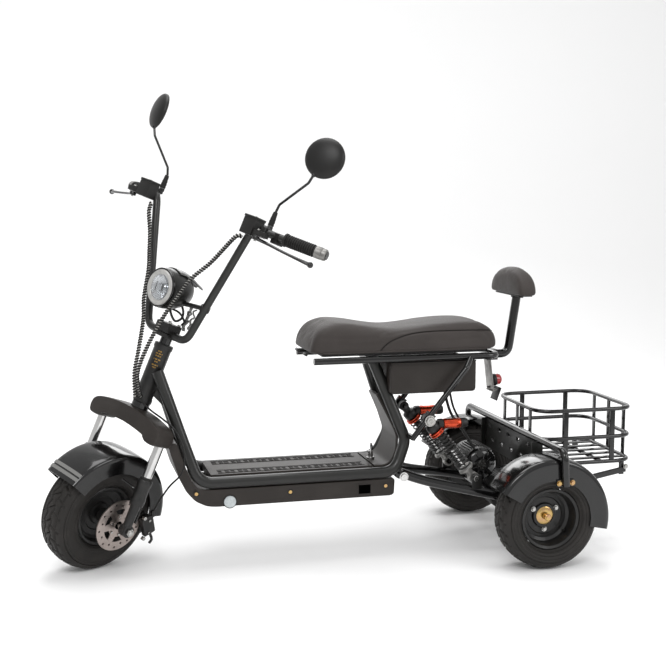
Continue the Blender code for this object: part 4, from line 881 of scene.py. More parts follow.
def headlight():
    """A round lamp with a deep black bowl, a peak over its back, a pale ring and a clear lens."""
    ahead = Matrix.Rotation(math.pi / 2, 4, "Y")
    bowl = [(0.0, 0.106), (0.014, 0.1052), (0.028, 0.1005), (0.0395, 0.09), (0.048, 0.074), (0.0535, 0.056),
            (0.0566, 0.038), (0.0575, 0.02), (0.0572, 0.008), (0.056, 0.002), (0.054, -0.001), (0.0512, 0.0),
            (0.0505, 0.01), (0.0, 0.014)]
    piece("headlight_shell", [moved(lathe(bowl, 72), ahead)], SATIN, "steering", "black_paint",
          ["headlight_bowl"],
          place=LAMP, angle=40)
    stations = [(0.03, 0.0585, 34), (0.055, 0.057, 36), (0.08, 0.05, 40), (0.104, 0.04, 44),
                (0.124, 0.03, 46),
                (0.143, 0.0215, 44)]
    rings = []
    for x, radius, spread in stations:
        angles = np.radians(np.linspace(90 - spread, 90 + spread, 13))
        outer = [(x, (radius + 0.002) * math.cos(a), (radius + 0.002) * math.sin(a)) for a in angles]
        inner = [(x, (radius - 0.002) * math.cos(a), (radius - 0.002) * math.sin(a)) for a in angles[::-1]]
        rings.append(outer + inner)
    peak = loft([[Vector(p) for p in curve] for curve in zip(*[curved(line, 4) for line in zip(*rings)])])
    piece("headlight_peak", [peak], SATIN, "steering", "black_paint", place=LAMP, angle=45)
    arms = [pipe(curved([(0.05, 0, -0.032), (0.064, side * 0.045, -0.027), (0.0735, side * 0.115, -0.019)],
                        6), 0.0066, 14)
            for side in (-1, 1)]
    arms.append(drum(0.0125, (0.046, 0, -0.056), (0.046, 0, -0.03), 28, edge=0.001))
    collars = [lathe([(0.0114, -0.008), (0.0138, -0.008), (0.0144, -0.006), (0.0144, 0.006), (0.0138, 0.008),
                      (0.0114, 0.008)],
                     32, True, (0.0735, side * 0.1165, -0.019), (-0.12, side * 0.32, 0.94)) for side in (-1,
                                                                                                         1)]
    piece("headlight_bracket", arms + collars, CAST, "steering", "black_paint", place=LAMP, angle=50)
    ring = [(0.036, -0.003), (0.0385, -0.006), (0.043, -0.0074), (0.048, -0.0066), (0.0508, -0.003),
            (0.0512, 0.006),
            (0.036, 0.006)]
    piece("headlight_ring", [moved(lathe(ring, 72, True), ahead)], LAMP_WHITE, "steering", "clear_lens",
          place=LAMP)
    bezel = [(0.051, -0.004), (0.0545, -0.0036), (0.056, -0.001), (0.056, 0.005), (0.051, 0.005)]
    piece("headlight_bezel", [moved(lathe(bezel, 72, True), ahead)], GLOSS, "steering", "black_paint",
          place=LAMP)
    reflector = [(0.0, 0.0095), (0.006, 0.0094)] + [(0.006 + 0.031 * t,
                                                     0.0094 - 0.012 * t ** 2) for t in np.linspace(0.1, 1,
                                                                                                   10)]
    reflector += [(0.0372, 0.01), (0.0, 0.011)]
    piece("headlight_reflector", [moved(lathe(reflector, 72), ahead)], BRIGHT, "steering", "clear_lens",
          place=LAMP)
    lens = [(0.0, -0.01), (0.018, -0.009), (0.028, -0.0068), (0.036, -0.0036), (0.036, -0.0022),
            (0.028, -0.0054),
            (0.018, -0.0076), (0.0, -0.0086)]
    piece("headlight_glass", [moved(lathe(lens, 72), ahead)], GLASS, "steering", "clear_lens",
          ["headlight_lens"], place=LAMP)
    bulb = [(0.0, -0.005), (0.0085, -0.004), (0.0115, 0.001), (0.0115, 0.009), (0.0, 0.009)]
    piece("headlight_bulb_cap", [moved(lathe(bulb, 40), ahead)], BRIGHT, "steering", "clear_lens", place=LAMP)
    slots = [block((0.001, 0.002, 0.026), (-0.0052, y, 0)) for y in (-0.013, 0.013)]
    piece("headlight_lamp_shades", slots, DARK_PLASTIC, "steering", "black_plastic", place=LAMP)


def wrapped(points, core, ribbon, pitch, sides=10):
    """A hose in spiral wrap: the core and the flat ribbon wound round it."""
    path = curved(points, 10)
    lengths = [0.0]
    for a, b in zip(path, path[1:]):
        lengths.append(lengths[-1] + (b - a).length)
    frames = frames_along(path)
    total = lengths[-1]
    count = int(total / pitch * 14)
    wound = []
    k = 0
    for i in range(count + 1):
        at = total * i / count
        while k < len(path) - 2 and lengths[k + 1] < at:
            k += 1
        share = (at - lengths[k]) / max(1e-9, lengths[k + 1] - lengths[k])
        centre = path[k].lerp(path[k + 1], share)
        u = frames[k][1].lerp(frames[k + 1][1], share)
        v = frames[k][2].lerp(frames[k + 1][2], share)
        a = math.tau * at / pitch
        wound.append(centre + (u * math.cos(a) + v * math.sin(a)) * (core + ribbon * 0.15))
    return pipe(path, core, sides), pipe(wound, ribbon, 6)


def hoses():
    left = [(-0.06, -0.188, 1.048), (-0.069, -0.175, 1.041), (-0.064, -0.14, 0.99), (-0.064, -0.115, 0.947),
            (-0.082, -0.086, 0.886), (-0.088, -0.068, 0.825), (-0.088, -0.05, 0.77), (-0.095, -0.04, 0.676),
            (-0.091, -0.036, 0.6), (-0.07, -0.036, 0.56), (-0.04, -0.034, 0.528)]
    right = [(-0.07, 0.193, 1.048), (-0.072, 0.185, 1.02), (-0.064, 0.16, 0.97), (-0.062, 0.135, 0.92),
             (-0.07, 0.1, 0.87), (-0.07, 0.074, 0.79), (-0.068, 0.045, 0.733), (-0.076, 0.01, 0.655),
             (-0.07, 0.0, 0.595), (-0.056, -0.006, 0.555), (-0.042, -0.012, 0.524)]
    for name, route in (("left", left), ("right", right)):
        core, ribbon = wrapped(route, 0.0036, 0.0028, 0.0078)
        # the core's colour is partly painted light: made paler than its own tone to show bright in the shaded
        # gaps of the wrap
        piece(f"brake_hose_{name}_core", [core], HOSE, "steering", "rubber", [f"brake_hose_{name}"],
              place=STEERED)
        piece(f"brake_hose_{name}_wrap", [ribbon], WRAP, "steering", "rubber", place=STEERED)
    down = [(-0.038, -0.044, 0.518), (-0.02, -0.07, 0.506), (-0.006, -0.11, 0.498), (0.006, -0.156, 0.485),
            (0.03, -0.185, 0.45), (0.049, -0.196, 0.411), (0.056, -0.193, 0.3726), (0.05, -0.176, 0.3319),
            (0.062, -0.15, 0.284), (0.078, -0.128, 0.245)]
    hose = build("caliper_hose_line", [pipe(curved(down, 8), 0.0026, 14)], WRAP, place=STEERED, angle=60)
    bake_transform(hose)
    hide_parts("caliper_hose")
    loop = [(-0.046, -0.012, 0.8), (-0.04, -0.02, 0.778), (-0.024, -0.03, 0.762), (-0.01, -0.036, 0.774),
            (-0.008, -0.032, 0.792), (-0.014, -0.022, 0.81)]
    wires = [pipe(curved(loop, 8), 0.0034, 12),
             pipe(curved([(-0.04, 0.006, 0.79), (-0.022, -0.03, 0.788), (-0.004, -0.044, 0.77),
                          (0.002, -0.034, 0.757)], 8),
                  0.003, 12)]
    piece("lamp_wires", wires, WRAP, "steering", "rubber", place=STEERED)
    foils = []
    for k, (x, y) in enumerate(((0.006, -0.04), (0.014, -0.032), (0.018, -0.048), (0.0, -0.05))):
        path = [(x + 0.0035 * math.sin(2.1 * i + k), y + 0.0035 * math.cos(1.7 * i + 2 * k),
                 0.812 - 0.0075 * i)
                for i in range(9 + k % 2)]
        sizes = [0.0036 + 0.0014 * math.sin(2.7 * i + k) for i in range(6 * (len(path) - 1) + 1)]
        foils.append(pipe(curved(path, 6), sizes, 10, squeeze=0.7))
    piece("harness_wrap", foils, SILVER_FOIL, "steering", "aluminium", place=STEERED, angle=60)


# ---- Frame --------------------
def on_axis(along, back=0.0, side=0.0):
    """A point given along the steering axis and square to it."""
    x = AXIS_X + back * math.cos(RAKE) + along * math.sin(RAKE)
    return Vector((x, side, along * math.cos(RAKE) - back * math.sin(RAKE)))


FRAME_PATH = [(0.196, 0.03, 0.562), (0.2575, 0.084, 0.37), (0.298, DECK_SIDE, 0.2515),
              (0.874, DECK_SIDE, 0.2515), (0.912, 0.086, 0.342), (0.823, 0.037, 0.578)]


def head_tube():
    low, high = on_axis(0.512), on_axis(0.688)
    profile = [(0.0174, 0), (0.026, 0), (0.0275, 0.002), (0.0275, 0.012), (0.0255, 0.015), (0.0255, 0.16),
               (0.0275, 0.163),
               (0.0275, 0.174), (0.026, 0.176), (0.0174, 0.176)]
    piece("head_tube_sleeve", [lathe(profile, 64, True, low, high - low)], CAST, "frame", "black_paint",
          ["head_tube"])
    marks = []
    rows = ((0.664, 0.014), (0.657, 0.02), (0.65, 0.016), (0.64, 0.02), (0.633, 0.012), (0.623, 0.018),
            (0.616, 0.01))
    for j, (along, wide) in enumerate(rows):
        for k in range(9):
            a0 = math.radians(252) + (k - 4) * wide / 9 / 0.0256
            ring = []
            for da in (-0.5, 0.5):
                a = a0 + da * wide / 9 / 0.0256
                ring.append(on_axis(along, 0.02575 * math.cos(a), 0.02575 * math.sin(a)))
            top = [p + (on_axis(1) - on_axis(0)) * 0.0036 for p in ring]
            if (j + k) % 4:
                out = (ring[0] - on_axis(along)).normalized() * 0.0002
                marks.append(loft([[ring[0], ring[1], top[1], top[0]],
                                   [ring[0] + out, ring[1] + out, top[1] + out, top[0] + out]]))
    piece("head_badge", marks, LABEL, "frame", "steel")


def main_tubes():
    for name, side in SIDES.items():
        path = rounded(mirrored(FRAME_PATH, side), 0.06, 12)
        piece(f"frame_tube_{name}_bent", [pipe(path, TUBE, 28)], SATIN, "frame", "black_paint",
              [f"frame_tube_{name}"],
              angle=60)
    gusset = [prism([(0.205, 0.545), (0.236, 0.45), (0.222, 0.448), (0.17, 0.505), (0.176, 0.54)], 0.005)]
    piece("neck_gusset", gusset, SATIN, "frame", "black_paint", bevel=0.0012)


def seat_subframe():
    corners = [(0.629, -RAIL_SIDE, RAIL_Z), (1.19, -RAIL_SIDE, RAIL_Z), (1.19, RAIL_SIDE, RAIL_Z),
               (0.629, RAIL_SIDE, RAIL_Z)]
    shapes = [pipe(rounded(corners, 0.035, 8), 0.0098, 20),
              block((0.04, 2 * RAIL_SIDE, 0.01), (0.822, 0, RAIL_Z - 0.004))]
    for side in (-1, 1):
        top = (1.1, side * (RAIL_SIDE + 0.006), RAIL_Z - 0.004)
        foot = (0.915, side * BRACE_SIDE, 0.352)
        bend = (1.08, side * BRACE_SIDE, 0.555)
        shapes.append(pipe(rounded([top, bend, foot], 0.02, 8), 0.0083, 20))
        shapes.append(drum(0.0078, (0.918, side * 0.104, 0.356), (0.918, side * BRACE_SIDE, 0.356), 20))
        shapes.append(drum(0.0058, (SHOCK_TOP[0], side * 0.083, SHOCK_TOP[1]),
                           (SHOCK_TOP[0], side * (BRACE_SIDE + 0.01), SHOCK_TOP[1]), 20))
        shapes.append(block((0.03, 0.009, 0.034), (0.9655, side * (BRACE_SIDE - 0.002), 0.412), 0.6))
    piece("seat_subframe_tubes", shapes, GLOSS, "frame", "black_paint", ["seat_subframe"], angle=50)
    piece("post_socket", [block((0.034, 0.056, 0.032), (1.206, 0, 0.575))], GLOSS, "frame", "black_paint",
          bevel=0.0016)
    plate = [block((0.004, 0.052, 0.108), (1.206, 0, 0.513), -0.12),
             block((0.02, 0.04, 0.003), (1.215, 0, 0.464), -0.12)]
    piece("tail_bracket", plate, ALLOY, "frame", "steel", bevel=0.001)
    flap = [block((0.003, 0.05, 0.042), (1.23, 0, 0.452), 0.35),
            block((0.03, 0.01, 0.004), (1.216, 0.0, 0.472))]
    piece("tail_flap", flap, DARK_PLASTIC, "frame", "black_plastic", bevel=0.001)
    bolts = []
    for side in (-1, 1):
        end = Vector((SHOCK_TOP[0], side * (BRACE_SIDE + 0.006), SHOCK_TOP[1]))
        out = Vector((0, side, 0))
        bolts += [drum(0.0165, end, end + out * 0.0022, 36, edge=0.0004),
                  hexagon(0.0132, end + out * 0.0022, end + out * 0.0086),
                  drum(0.006, end + out * 0.0086, end + out * 0.0104, 24, edge=0.0006)]
    piece("shock_top_bolts", bolts, ZINC, "frame", "steel")


def eased(points, radius, density=4):
    """An outline with its corners rounded, as (back, up) points."""
    loop = [Vector((x, 0, z)) for x, z in points]
    found = []
    count = len(loop)
    for i in range(count):
        before, corner, after = loop[i - 1], loop[i], loop[(i + 1) % count]
        into, out = (before - corner), (after - corner)
        reach = min(radius, 0.45 * into.length, 0.45 * out.length)
        start, end = corner + into.normalized() * reach, corner + out.normalized() * reach
        for step in range(density + 1):
            t = step / density
            p = start * (1 - t) ** 2 + corner * 2 * t * (1 - t) + end * t * t
            found.append((p.x, p.z))
    return found


HULL_OUTLINE = [(0.214, 0.366), (0.224, 0.33), (0.242, 0.272), (0.262, 0.23), (0.288, 0.2), (0.32, 0.184),
                (0.345, HULL_BOTTOM), (0.862, HULL_BOTTOM), (0.872, 0.186), (0.874, 0.228), (0.868, 0.2333),
                (0.335, 0.2333), (0.306, 0.2345), (0.286, 0.245), (0.271, 0.272), (0.252, 0.33),
                (0.241, 0.366)]


def hull_taper(z):
    """The hull narrows as it rises past the deck."""
    return 1 - 2.2 * max(0, z - DECK_TOP)


def hull():
    outline = eased(HULL_OUTLINE, 0.01, 3)
    rings = []
    for share, pull in ((-1.0, 0.0045), (-0.985, 0.0012), (-0.955, 0.0), (0.955, 0.0), (0.985, 0.0012),
                        (1.0, 0.0045)):
        ring = []
        for x, z in outline:
            cx, cz = (x - 0.6) * (1 - pull / 0.3), (z - 0.215)
            ring.append((0.6 + cx if z < 0.25 else x, share * 0.1085 * hull_taper(z),
                         0.215 + cz * (1 - pull / 0.04 if z < 0.25 else 1)))
        rings.append(ring)
    piece("lower_hull_moulding", [loft(rings)], PLASTIC, "frame", "black_plastic", ["lower_hull"], angle=38)
    keep("battery_pack", CELL)
    y, port_x, port_z = -0.1088, 0.781, 0.206
    screws, cups = [], []
    for side in (-1, 1):
        for x in (0.29, 0.56, 0.845):
            spot = Vector((x, side * HULL_SIDE, 0.212 if x > 0.3 else 0.223))
            out = Vector((0, side, 0))
            cups.append(drum(0.0085, spot, spot + out * 0.0008, 28, edge=0.0003))
            screws.append(drum(0.0055, spot + out * 0.0006, spot + out * 0.0024, 28, edge=0.0008))
            screws.append(block((0.0065, 0.0004, 0.001), spot + out * 0.0025))
    piece("hull_screws", screws, BRASS, "frame", "steel")
    piece("hull_screw_cups", cups, DARK_PLASTIC, "frame", "black_plastic")
    window = [block((0.036, 0.0012, 0.026), (port_x, y, port_z))]
    piece("hull_port", window, PORT, "frame", "black_plastic", bevel=0.0003)
    frame_round = [block((0.041, 0.0016, 0.003), (port_x, y, z)) for z in (0.2205, 0.1915)]
    frame_round += [block((0.003, 0.0016, 0.03), (x, y, port_z)) for x in (0.7618, 0.8002)]
    piece("hull_port_rim", frame_round, PLASTIC, "frame", "black_plastic", bevel=0.0005)
    for name, side in SIDES.items():
        at, out = Vector((0.385, side * HULL_SIDE, 0.195)), (0, side, 0)
        lens = lathe([(0.0, 0.0056), (0.01, 0.0052), (0.0165, 0.004), (0.0176, 0.002), (0.0176, 0.0)], 48,
                     False, at, out)
        cup = lathe([(0.0178, 0.003), (0.0192, 0.0022), (0.0192, 0.0), (0.0, 0.0)], 48, False, at, out)
        piece(f"reflector_{name}", [lens], WHITE_LENS, "frame", "clear_lens")
        piece(f"reflector_cup_{name}", [cup], DARK_PLASTIC, "frame", "black_plastic")


def deck():
    lid = [block((0.478, 0.174, 0.0235), (0.573, 0, DECK_TOP - 0.013))]
    piece("deck_lid_panel", lid, PLASTIC, "deck_cover", "black_plastic", ["deck_lid"], bevel=0.0035)
    strips = []
    for side in (-1, 1):
        for k in range(23):
            x = 0.366 + 0.0188 * k
            lean = 0.005 if k % 2 else -0.005
            for inner in (0.048, 0.066):
                corners = [(x - 0.006, inner - 0.006), (x + 0.006, inner - 0.006 + lean / 4),
                           (x + 0.006 + lean / 2, inner + 0.006),
                           (x - 0.006 + lean / 2, inner + 0.006 - lean / 4)]
                low = [Vector((cx, side * cy, DECK_TOP - 0.0016)) for cx, cy in corners]
                high = [Vector((cx, side * cy, DECK_TOP - 0.0001)) for cx, cy in corners]
                strips.append(loft([low, high] if side > 0 else [low[::-1], high[::-1]]))
        for edge in (0.0385, 0.0755):
            strips.append(block((0.432, 0.002, 0.0016), (0.574, side * edge, DECK_TOP - 0.0008)))
    piece("deck_tread_strips", strips, TREAD, "deck_cover", "black_plastic", bevel=0.0004, segments=1)


LOCK = Vector((0.83, 0.0, 0.27))
UPSTAND_PATH = [(0.816, 0.086, 0.2665), (0.848, 0.086, 0.2665), (0.87, 0.083, 0.279), (0.884, 0.08, 0.305),
                (0.8905, 0.072, 0.335), (0.889, 0.064, 0.362), (0.861, 0.05, 0.425), (0.838, 0.04, 0.472)]


def upstand():
    path = curved([(x, half, z) for x, half, z in UPSTAND_PATH], 6)
    rings = []
    for i, p in enumerate(path):
        ahead, behind = path[min(i + 1, len(path) - 1)], path[max(i - 1, 0)]
        along = Vector((ahead.x - behind.x, 0, ahead.z - behind.z)).normalized()
        normal = Vector((along.z, 0, -along.x)) * 0.004
        ring = []
        for share in (-1, -0.97, -0.85, -0.4, 0.4, 0.85, 0.97, 1):
            ring.append(Vector((p.x, share * p.y, p.z)) - normal * (1 if abs(share) < 1 else 0.3))
        for share in (1, 0.97, 0.85, 0.4, -0.4, -0.85, -0.97, -1):
            ring.append(Vector((p.x, share * p.y, p.z)) + normal * (1 if abs(share) < 1 else 0.3))
        rings.append(ring)
    piece("rear_upstand_moulding", [loft(rings)], PLASTIC, "frame", "black_plastic", ["rear_upstand"],
          angle=40)
    barrel = lathe([(0.0, 0.024), (0.0062, 0.024), (0.0073, 0.023), (0.0073, -0.0138), (0.0, -0.0138)], 32,
                   False, LOCK)
    piece("key_barrel", [barrel], CHROME, "key", "chrome", ["ignition_key"])
    lean = Matrix.Translation(LOCK + Vector((0, 0, 0.02))) @ Matrix.Rotation(math.radians(32), 4, "X")
    blade = moved(block((0.002, 0.0062, 0.02), (0, 0, 0.006)), lean)
    piece("key_blade", [blade], CHROME, "key", "chrome", bevel=0.0003)
    outline = eased([(-0.01, 0.012), (0.01, 0.012), (0.0125, 0.029), (-0.0125, 0.029)], 0.005)
    head = sheet_metal(outline, [ring_of(0.0026, 20, (0, 0.025))], 0.0034)
    standing = lean @ Matrix.Rotation(math.pi / 2, 4, "Z") @ Matrix.Rotation(math.pi / 2, 4, "X")
    piece("key_bow", [moved(head, standing)], DARK_PLASTIC, "key", "black_plastic", bevel=0.0005)
    collar = lathe([(0.0083, -0.01), (0.012, -0.01), (0.012, 0.0045), (0.0108, 0.006), (0.0083, 0.006)], 36,
                   True, LOCK)
    piece("lock_collar", [collar], CHROME, "frame", "chrome")


def under_seat_box():
    outline = eased([(0.862, 0.574), (0.862, 0.479), (1.126, 0.479), (1.126, 0.574)], 0.012, 4)
    rings = []
    for share, pull in ((-1.0, 0.006), (-0.985, 0.0018), (-0.955, 0.0), (0.955, 0.0), (0.985, 0.0018),
                        (1.0, 0.006)):
        rings.append([(0.994 + (x - 0.994) * (1 - pull / 0.13), share * 0.099,
                       0.5265 + (z - 0.5265) * (1 - pull / 0.048)) for x, z in outline])
    piece("under_seat_box_moulding", [loft(rings)], PLASTIC, "frame", "black_plastic", ["under_seat_box"],
          angle=38)
    ledge = [block((0.262, 0.201, 0.004), (0.994, 0, 0.57))]
    piece("under_seat_box_rim", ledge, PLASTIC, "frame", "black_plastic", bevel=0.001)


# ---- Saddle and backrest --------------------
SADDLE = [(0.619, 0.094, 0.6074, 0.619), (0.624, 0.106, 0.6068, 0.64), (0.634, 0.114, 0.6064, 0.661),
          (0.652, 0.119, 0.6064, 0.68), (0.68, 0.122, 0.6064, 0.689), (0.715, 0.1235, 0.6064, 0.69),
          (0.76, 0.124, 0.6064, 0.685), (0.81, 0.124, 0.6064, 0.676), (0.868, 0.124, 0.6064, 0.669),
          (0.93, 0.124, 0.6064, 0.672), (1.0, 0.1245, 0.6064, 0.68), (1.07, 0.1245, 0.6064, 0.684),
          (1.13, 0.123, 0.6064, 0.682), (1.164, 0.118, 0.6064, 0.673), (1.182, 0.108, 0.607, 0.656),
          (1.19, 0.093, 0.609, 0.63)]
SADDLE_SECTION = [(0.9, 0.0), (0.985, 0.05), (1.0, 0.3), (0.985, 0.6), (0.93, 0.82), (0.8, 0.945),
                  (0.5, 0.995),
                  (0.0, 1.02)]


def saddle_shape():
    half_loop = [Vector((y, 0, z)) for y, z in SADDLE_SECTION]
    loop = curved([Vector((-p.x, 0, p.z)) for p in half_loop] + half_loop[-2::-1], 3)
    rings = [[(back, p.x * half, low + p.z * (high - low)) for p in loop] for back, half, low, high in SADDLE]
    lines = [curved(line, 4) for line in zip(*rings)]
    return loft([list(ring) for ring in zip(*lines)])


def inflate(obj, cap, voxel, floor_z, pressure=4.0, frames=20):
    """Swells a soft shape with a short cloth simulation, held below floor_z, no point moving past cap."""
    bpy.context.view_layer.objects.active = obj
    remesh = obj.modifiers.new("even", "REMESH")
    remesh.mode = "VOXEL"
    remesh.voxel_size = voxel
    bpy.context.view_layer.update()
    mesh = bpy.data.meshes.new_from_object(obj.evaluated_get(bpy.context.evaluated_depsgraph_get()))
    obj.modifiers.clear()
    material = obj.data.materials[0]
    obj.data = mesh
    mesh.materials.clear()
    mesh.materials.append(material)
    before = np.array([v.co for v in mesh.vertices])
    held = obj.vertex_groups.new(name="held")
    for v in mesh.vertices:
        if v.co.z < floor_z:
            held.add([v.index], 1.0, "REPLACE")
    cloth = obj.modifiers.new("swell", "CLOTH")
    cloth.settings.quality = 5
    cloth.settings.use_pressure = True
    cloth.settings.uniform_pressure_force = pressure
    cloth.settings.vertex_group_mass = "held"
    cloth.settings.tension_stiffness = 8
    cloth.settings.compression_stiffness = 8
    cloth.settings.bending_stiffness = 0.6
    cloth.settings.effector_weights.gravity = 0.0
    cloth.point_cache.frame_start = 1
    cloth.point_cache.frame_end = frames
    for step in range(1, frames + 1):
        bpy.context.scene.frame_set(step)
    graph = bpy.context.evaluated_depsgraph_get()
    evaluated = obj.evaluated_get(graph)
    swollen = evaluated.to_mesh()
    after = np.array([v.co for v in swollen.vertices])
    evaluated.to_mesh_clear()
    obj.modifiers.clear()
    bpy.context.scene.frame_set(1)
    shift = after - before
    size = np.linalg.norm(shift, axis=1, keepdims=True)
    shift *= np.minimum(1.0, cap / np.maximum(size, 1e-9))
    mesh.vertices.foreach_set("co", (before + shift).ravel())
    work = bmesh.new()
    work.from_mesh(mesh)
    for _ in range(4):
        bmesh.ops.smooth_vert(work, verts=work.verts, factor=0.5, use_axis_x=True, use_axis_y=True,
                              use_axis_z=True)
    work.to_mesh(mesh)
    work.free()
    mesh.shade_smooth()


def subdivided(obj):
    soft = obj.modifiers.new("fine", "SUBSURF")
    soft.levels = 1
    soft.render_levels = 1
    bpy.context.view_layer.update()
    mesh = bpy.data.meshes.new_from_object(obj.evaluated_get(bpy.context.evaluated_depsgraph_get()))
    obj.modifiers.clear()
    obj.data = mesh
    mesh.shade_smooth()


def pressed_seam(obj, path, depth, width):
    """Sinks the surface along a sewn line."""
    spots = np.array([tuple(p) for p in path])
    for v in obj.data.vertices:
        gap = np.sqrt(((spots - np.array(v.co)) ** 2).sum(1).min())
        if gap < width * 3:
            v.co -= v.normal * depth * math.exp(-(gap / width) ** 2)


def on_surface(obj, points, toward):
    """Points moved onto the surface of obj, looking along the given direction."""
    tree = BVHTree.FromObject(obj, bpy.context.evaluated_depsgraph_get())
    found = []
    for p in points:
        hit = tree.ray_cast(Vector(p) - Vector(toward) * 0.3, Vector(toward))[0]
        if hit is not None:
            found.append(hit)
    return found


def saddle():
    base = [block((0.5, 0.205, 0.008), (0.905, 0, 0.601))]
    piece("seat_base_pan", base, DARK_PLASTIC, "seat", "black_plastic", ["seat_base"], bevel=0.002)
    lugs = [block((0.046, 0.02, 0.004), (0.636, y, 0.601)) for y in (-0.05, 0.05)]
    lugs += [drum(0.0045, (0.618, y - 0.014, 0.6), (0.618, y + 0.014, 0.6), 20) for y in (-0.05, 0.05)]
    piece("seat_hinge_lugs", lugs, CAST, "seat", "black_paint")
    cushion = build("saddle_cover", [saddle_shape()], LEATHER, angle=180)
    inflate(cushion, cap=0.0045, voxel=0.006, floor_z=0.61)
    subdivided(cushion)
    bpy.context.view_layer.update()
    seams = []
    shift = Vector((FRONT_X, 0, 0))
    for side in (-1, 1):
        flank = curved([Vector((x, side * 0.02, z)) + shift for x,
                        z in ((0.825, 0.611), (0.838, 0.626), (0.862, 0.641),
                                                                        (0.91, 0.656), (0.971, 0.663),
                              (1.06, 0.664),
                                                                        (1.15, 0.662), (1.178, 0.656))], 12)
        seams.append(on_surface(cushion, flank, (0, -side, 0)))
    for path in seams:
        pressed_seam(cushion, path, depth=0.0022, width=0.004)
    creases = (((0.655, 0.652), (0.7, 0.65), (0.76, 0.648), (0.815, 0.65)),
               ((0.7, 0.634), (0.76, 0.63), (0.83, 0.632)),
               ((0.85, 0.655), (0.9, 0.662), (0.96, 0.668), (1.02, 0.672)),
               ((0.96, 0.64), (1.04, 0.636), (1.12, 0.64)),
               ((0.812, 0.64), (0.822, 0.655), (0.838, 0.664)), ((1.12, 0.668), (1.15, 0.65), (1.162, 0.63)))
    for side in (-1, 1):
        for line in creases:
            fold = on_surface(cushion, curved([Vector((x, side * 0.02, z)) + shift for x, z in line], 10),
                              (0, -side, 0))
            if fold:
                pressed_seam(cushion, fold, depth=0.0012, width=0.006)
    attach(cushion, "seat")
    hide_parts("seat_cushion")
    welts = []
    for k, path in enumerate(seams):
        side = 1 if k else -1
        lined = [p + Vector((0, side * -0.001, 0)) for p in path]
        if len(lined) > 3:
            welts.append(pipe(lined, 0.0011, 8))
    piece("saddle_seams", welts, THREAD, "seat", "brown_leather", place=Matrix.Identity(4))
    hem = rounded([(0.905, -0.1145, 0.6085), (1.176, -0.1145, 0.6085), (1.176, 0.1145, 0.6085),
                   (0.634, 0.1145, 0.6085),
                   (0.634, -0.1145, 0.6085), (0.905, -0.1145, 0.6085)], 0.045, 8)[:-1]
    piece("saddle_hem", [pipe(hem, 0.0032, 12, closed=True)], LEATHER, "seat", "brown_leather")


def backrest():
    path = rounded([(1.2035, 0, 0.574), (1.266, 0, 0.574), (1.298, 0, 0.79)], 0.03, 10)
    piece("backrest_post_tube", [pipe(path, 0.0132, 28)], GLOSS, "frame", "black_paint", ["backrest_post"],
          angle=60)
    half, low, high = 0.121, 0.76, 0.839
    rings = []
    for back, grow in ((-0.026, 0.8), (-0.0235, 0.92), (-0.016, 0.985), (-0.004, 1.0), (0.008, 1.0),
                       (0.018, 0.975), (0.0245, 0.9),
                       (0.027, 0.8)):
        ring = []
        for i in range(25):
            t = math.pi * i / 24
            y = -half * math.cos(t) * (grow * 0.5 + 0.5)
            z = low + (high - low) * math.sin(t) ** 0.8 * grow + (1 - grow) * 0.012
            ring.append((1.2795 + back, y, z))
        for i in range(1, 12):
            y = half * (grow * 0.5 + 0.5) * (1 - i / 6)
            ring.append((1.2795 + back, y, low + (1 - grow) * 0.012 - 0.0016))
        rings.append(ring)
    pad = build("backrest_cover", [loft(rings)], LEATHER, angle=180)
    inflate(pad, cap=0.004, voxel=0.0045, floor_z=0.7625)
    subdivided(pad)
    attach(pad, "frame")
    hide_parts("backrest_pad")
    plate = [block((0.044, 0.18, 0.004), (1.282, 0, 0.7565)),
             drum(0.019, (1.2935, 0, 0.745), (1.2945, 0, 0.756), 32)]
    piece("backrest_plate", plate, DARK_PLASTIC, "frame", "black_plastic", bevel=0.001)
    tilt = Matrix.Translation((1.2165, 0, 0.493)) @ Matrix.Rotation(math.pi / 2 - 0.12, 4, "Y")
    lens = [(0.0, 0.03), (0.009, 0.0292), (0.014, 0.026), (0.0168, 0.0205), (0.0174, 0.006), (0.0, 0.006)]
    piece("tail_lamp_lens", [moved(lathe(lens, 48), tilt)], RED_LENS, "frame", "red_lens", ["tail_lamp"])
    cup = [(0.0, 0.0), (0.016, 0.0), (0.0182, 0.002), (0.0182, 0.01), (0.0176, 0.011), (0.0, 0.011)]
    piece("tail_lamp_cup", [moved(lathe(cup, 48), tilt)], DARK_PLASTIC, "frame", "black_plastic")


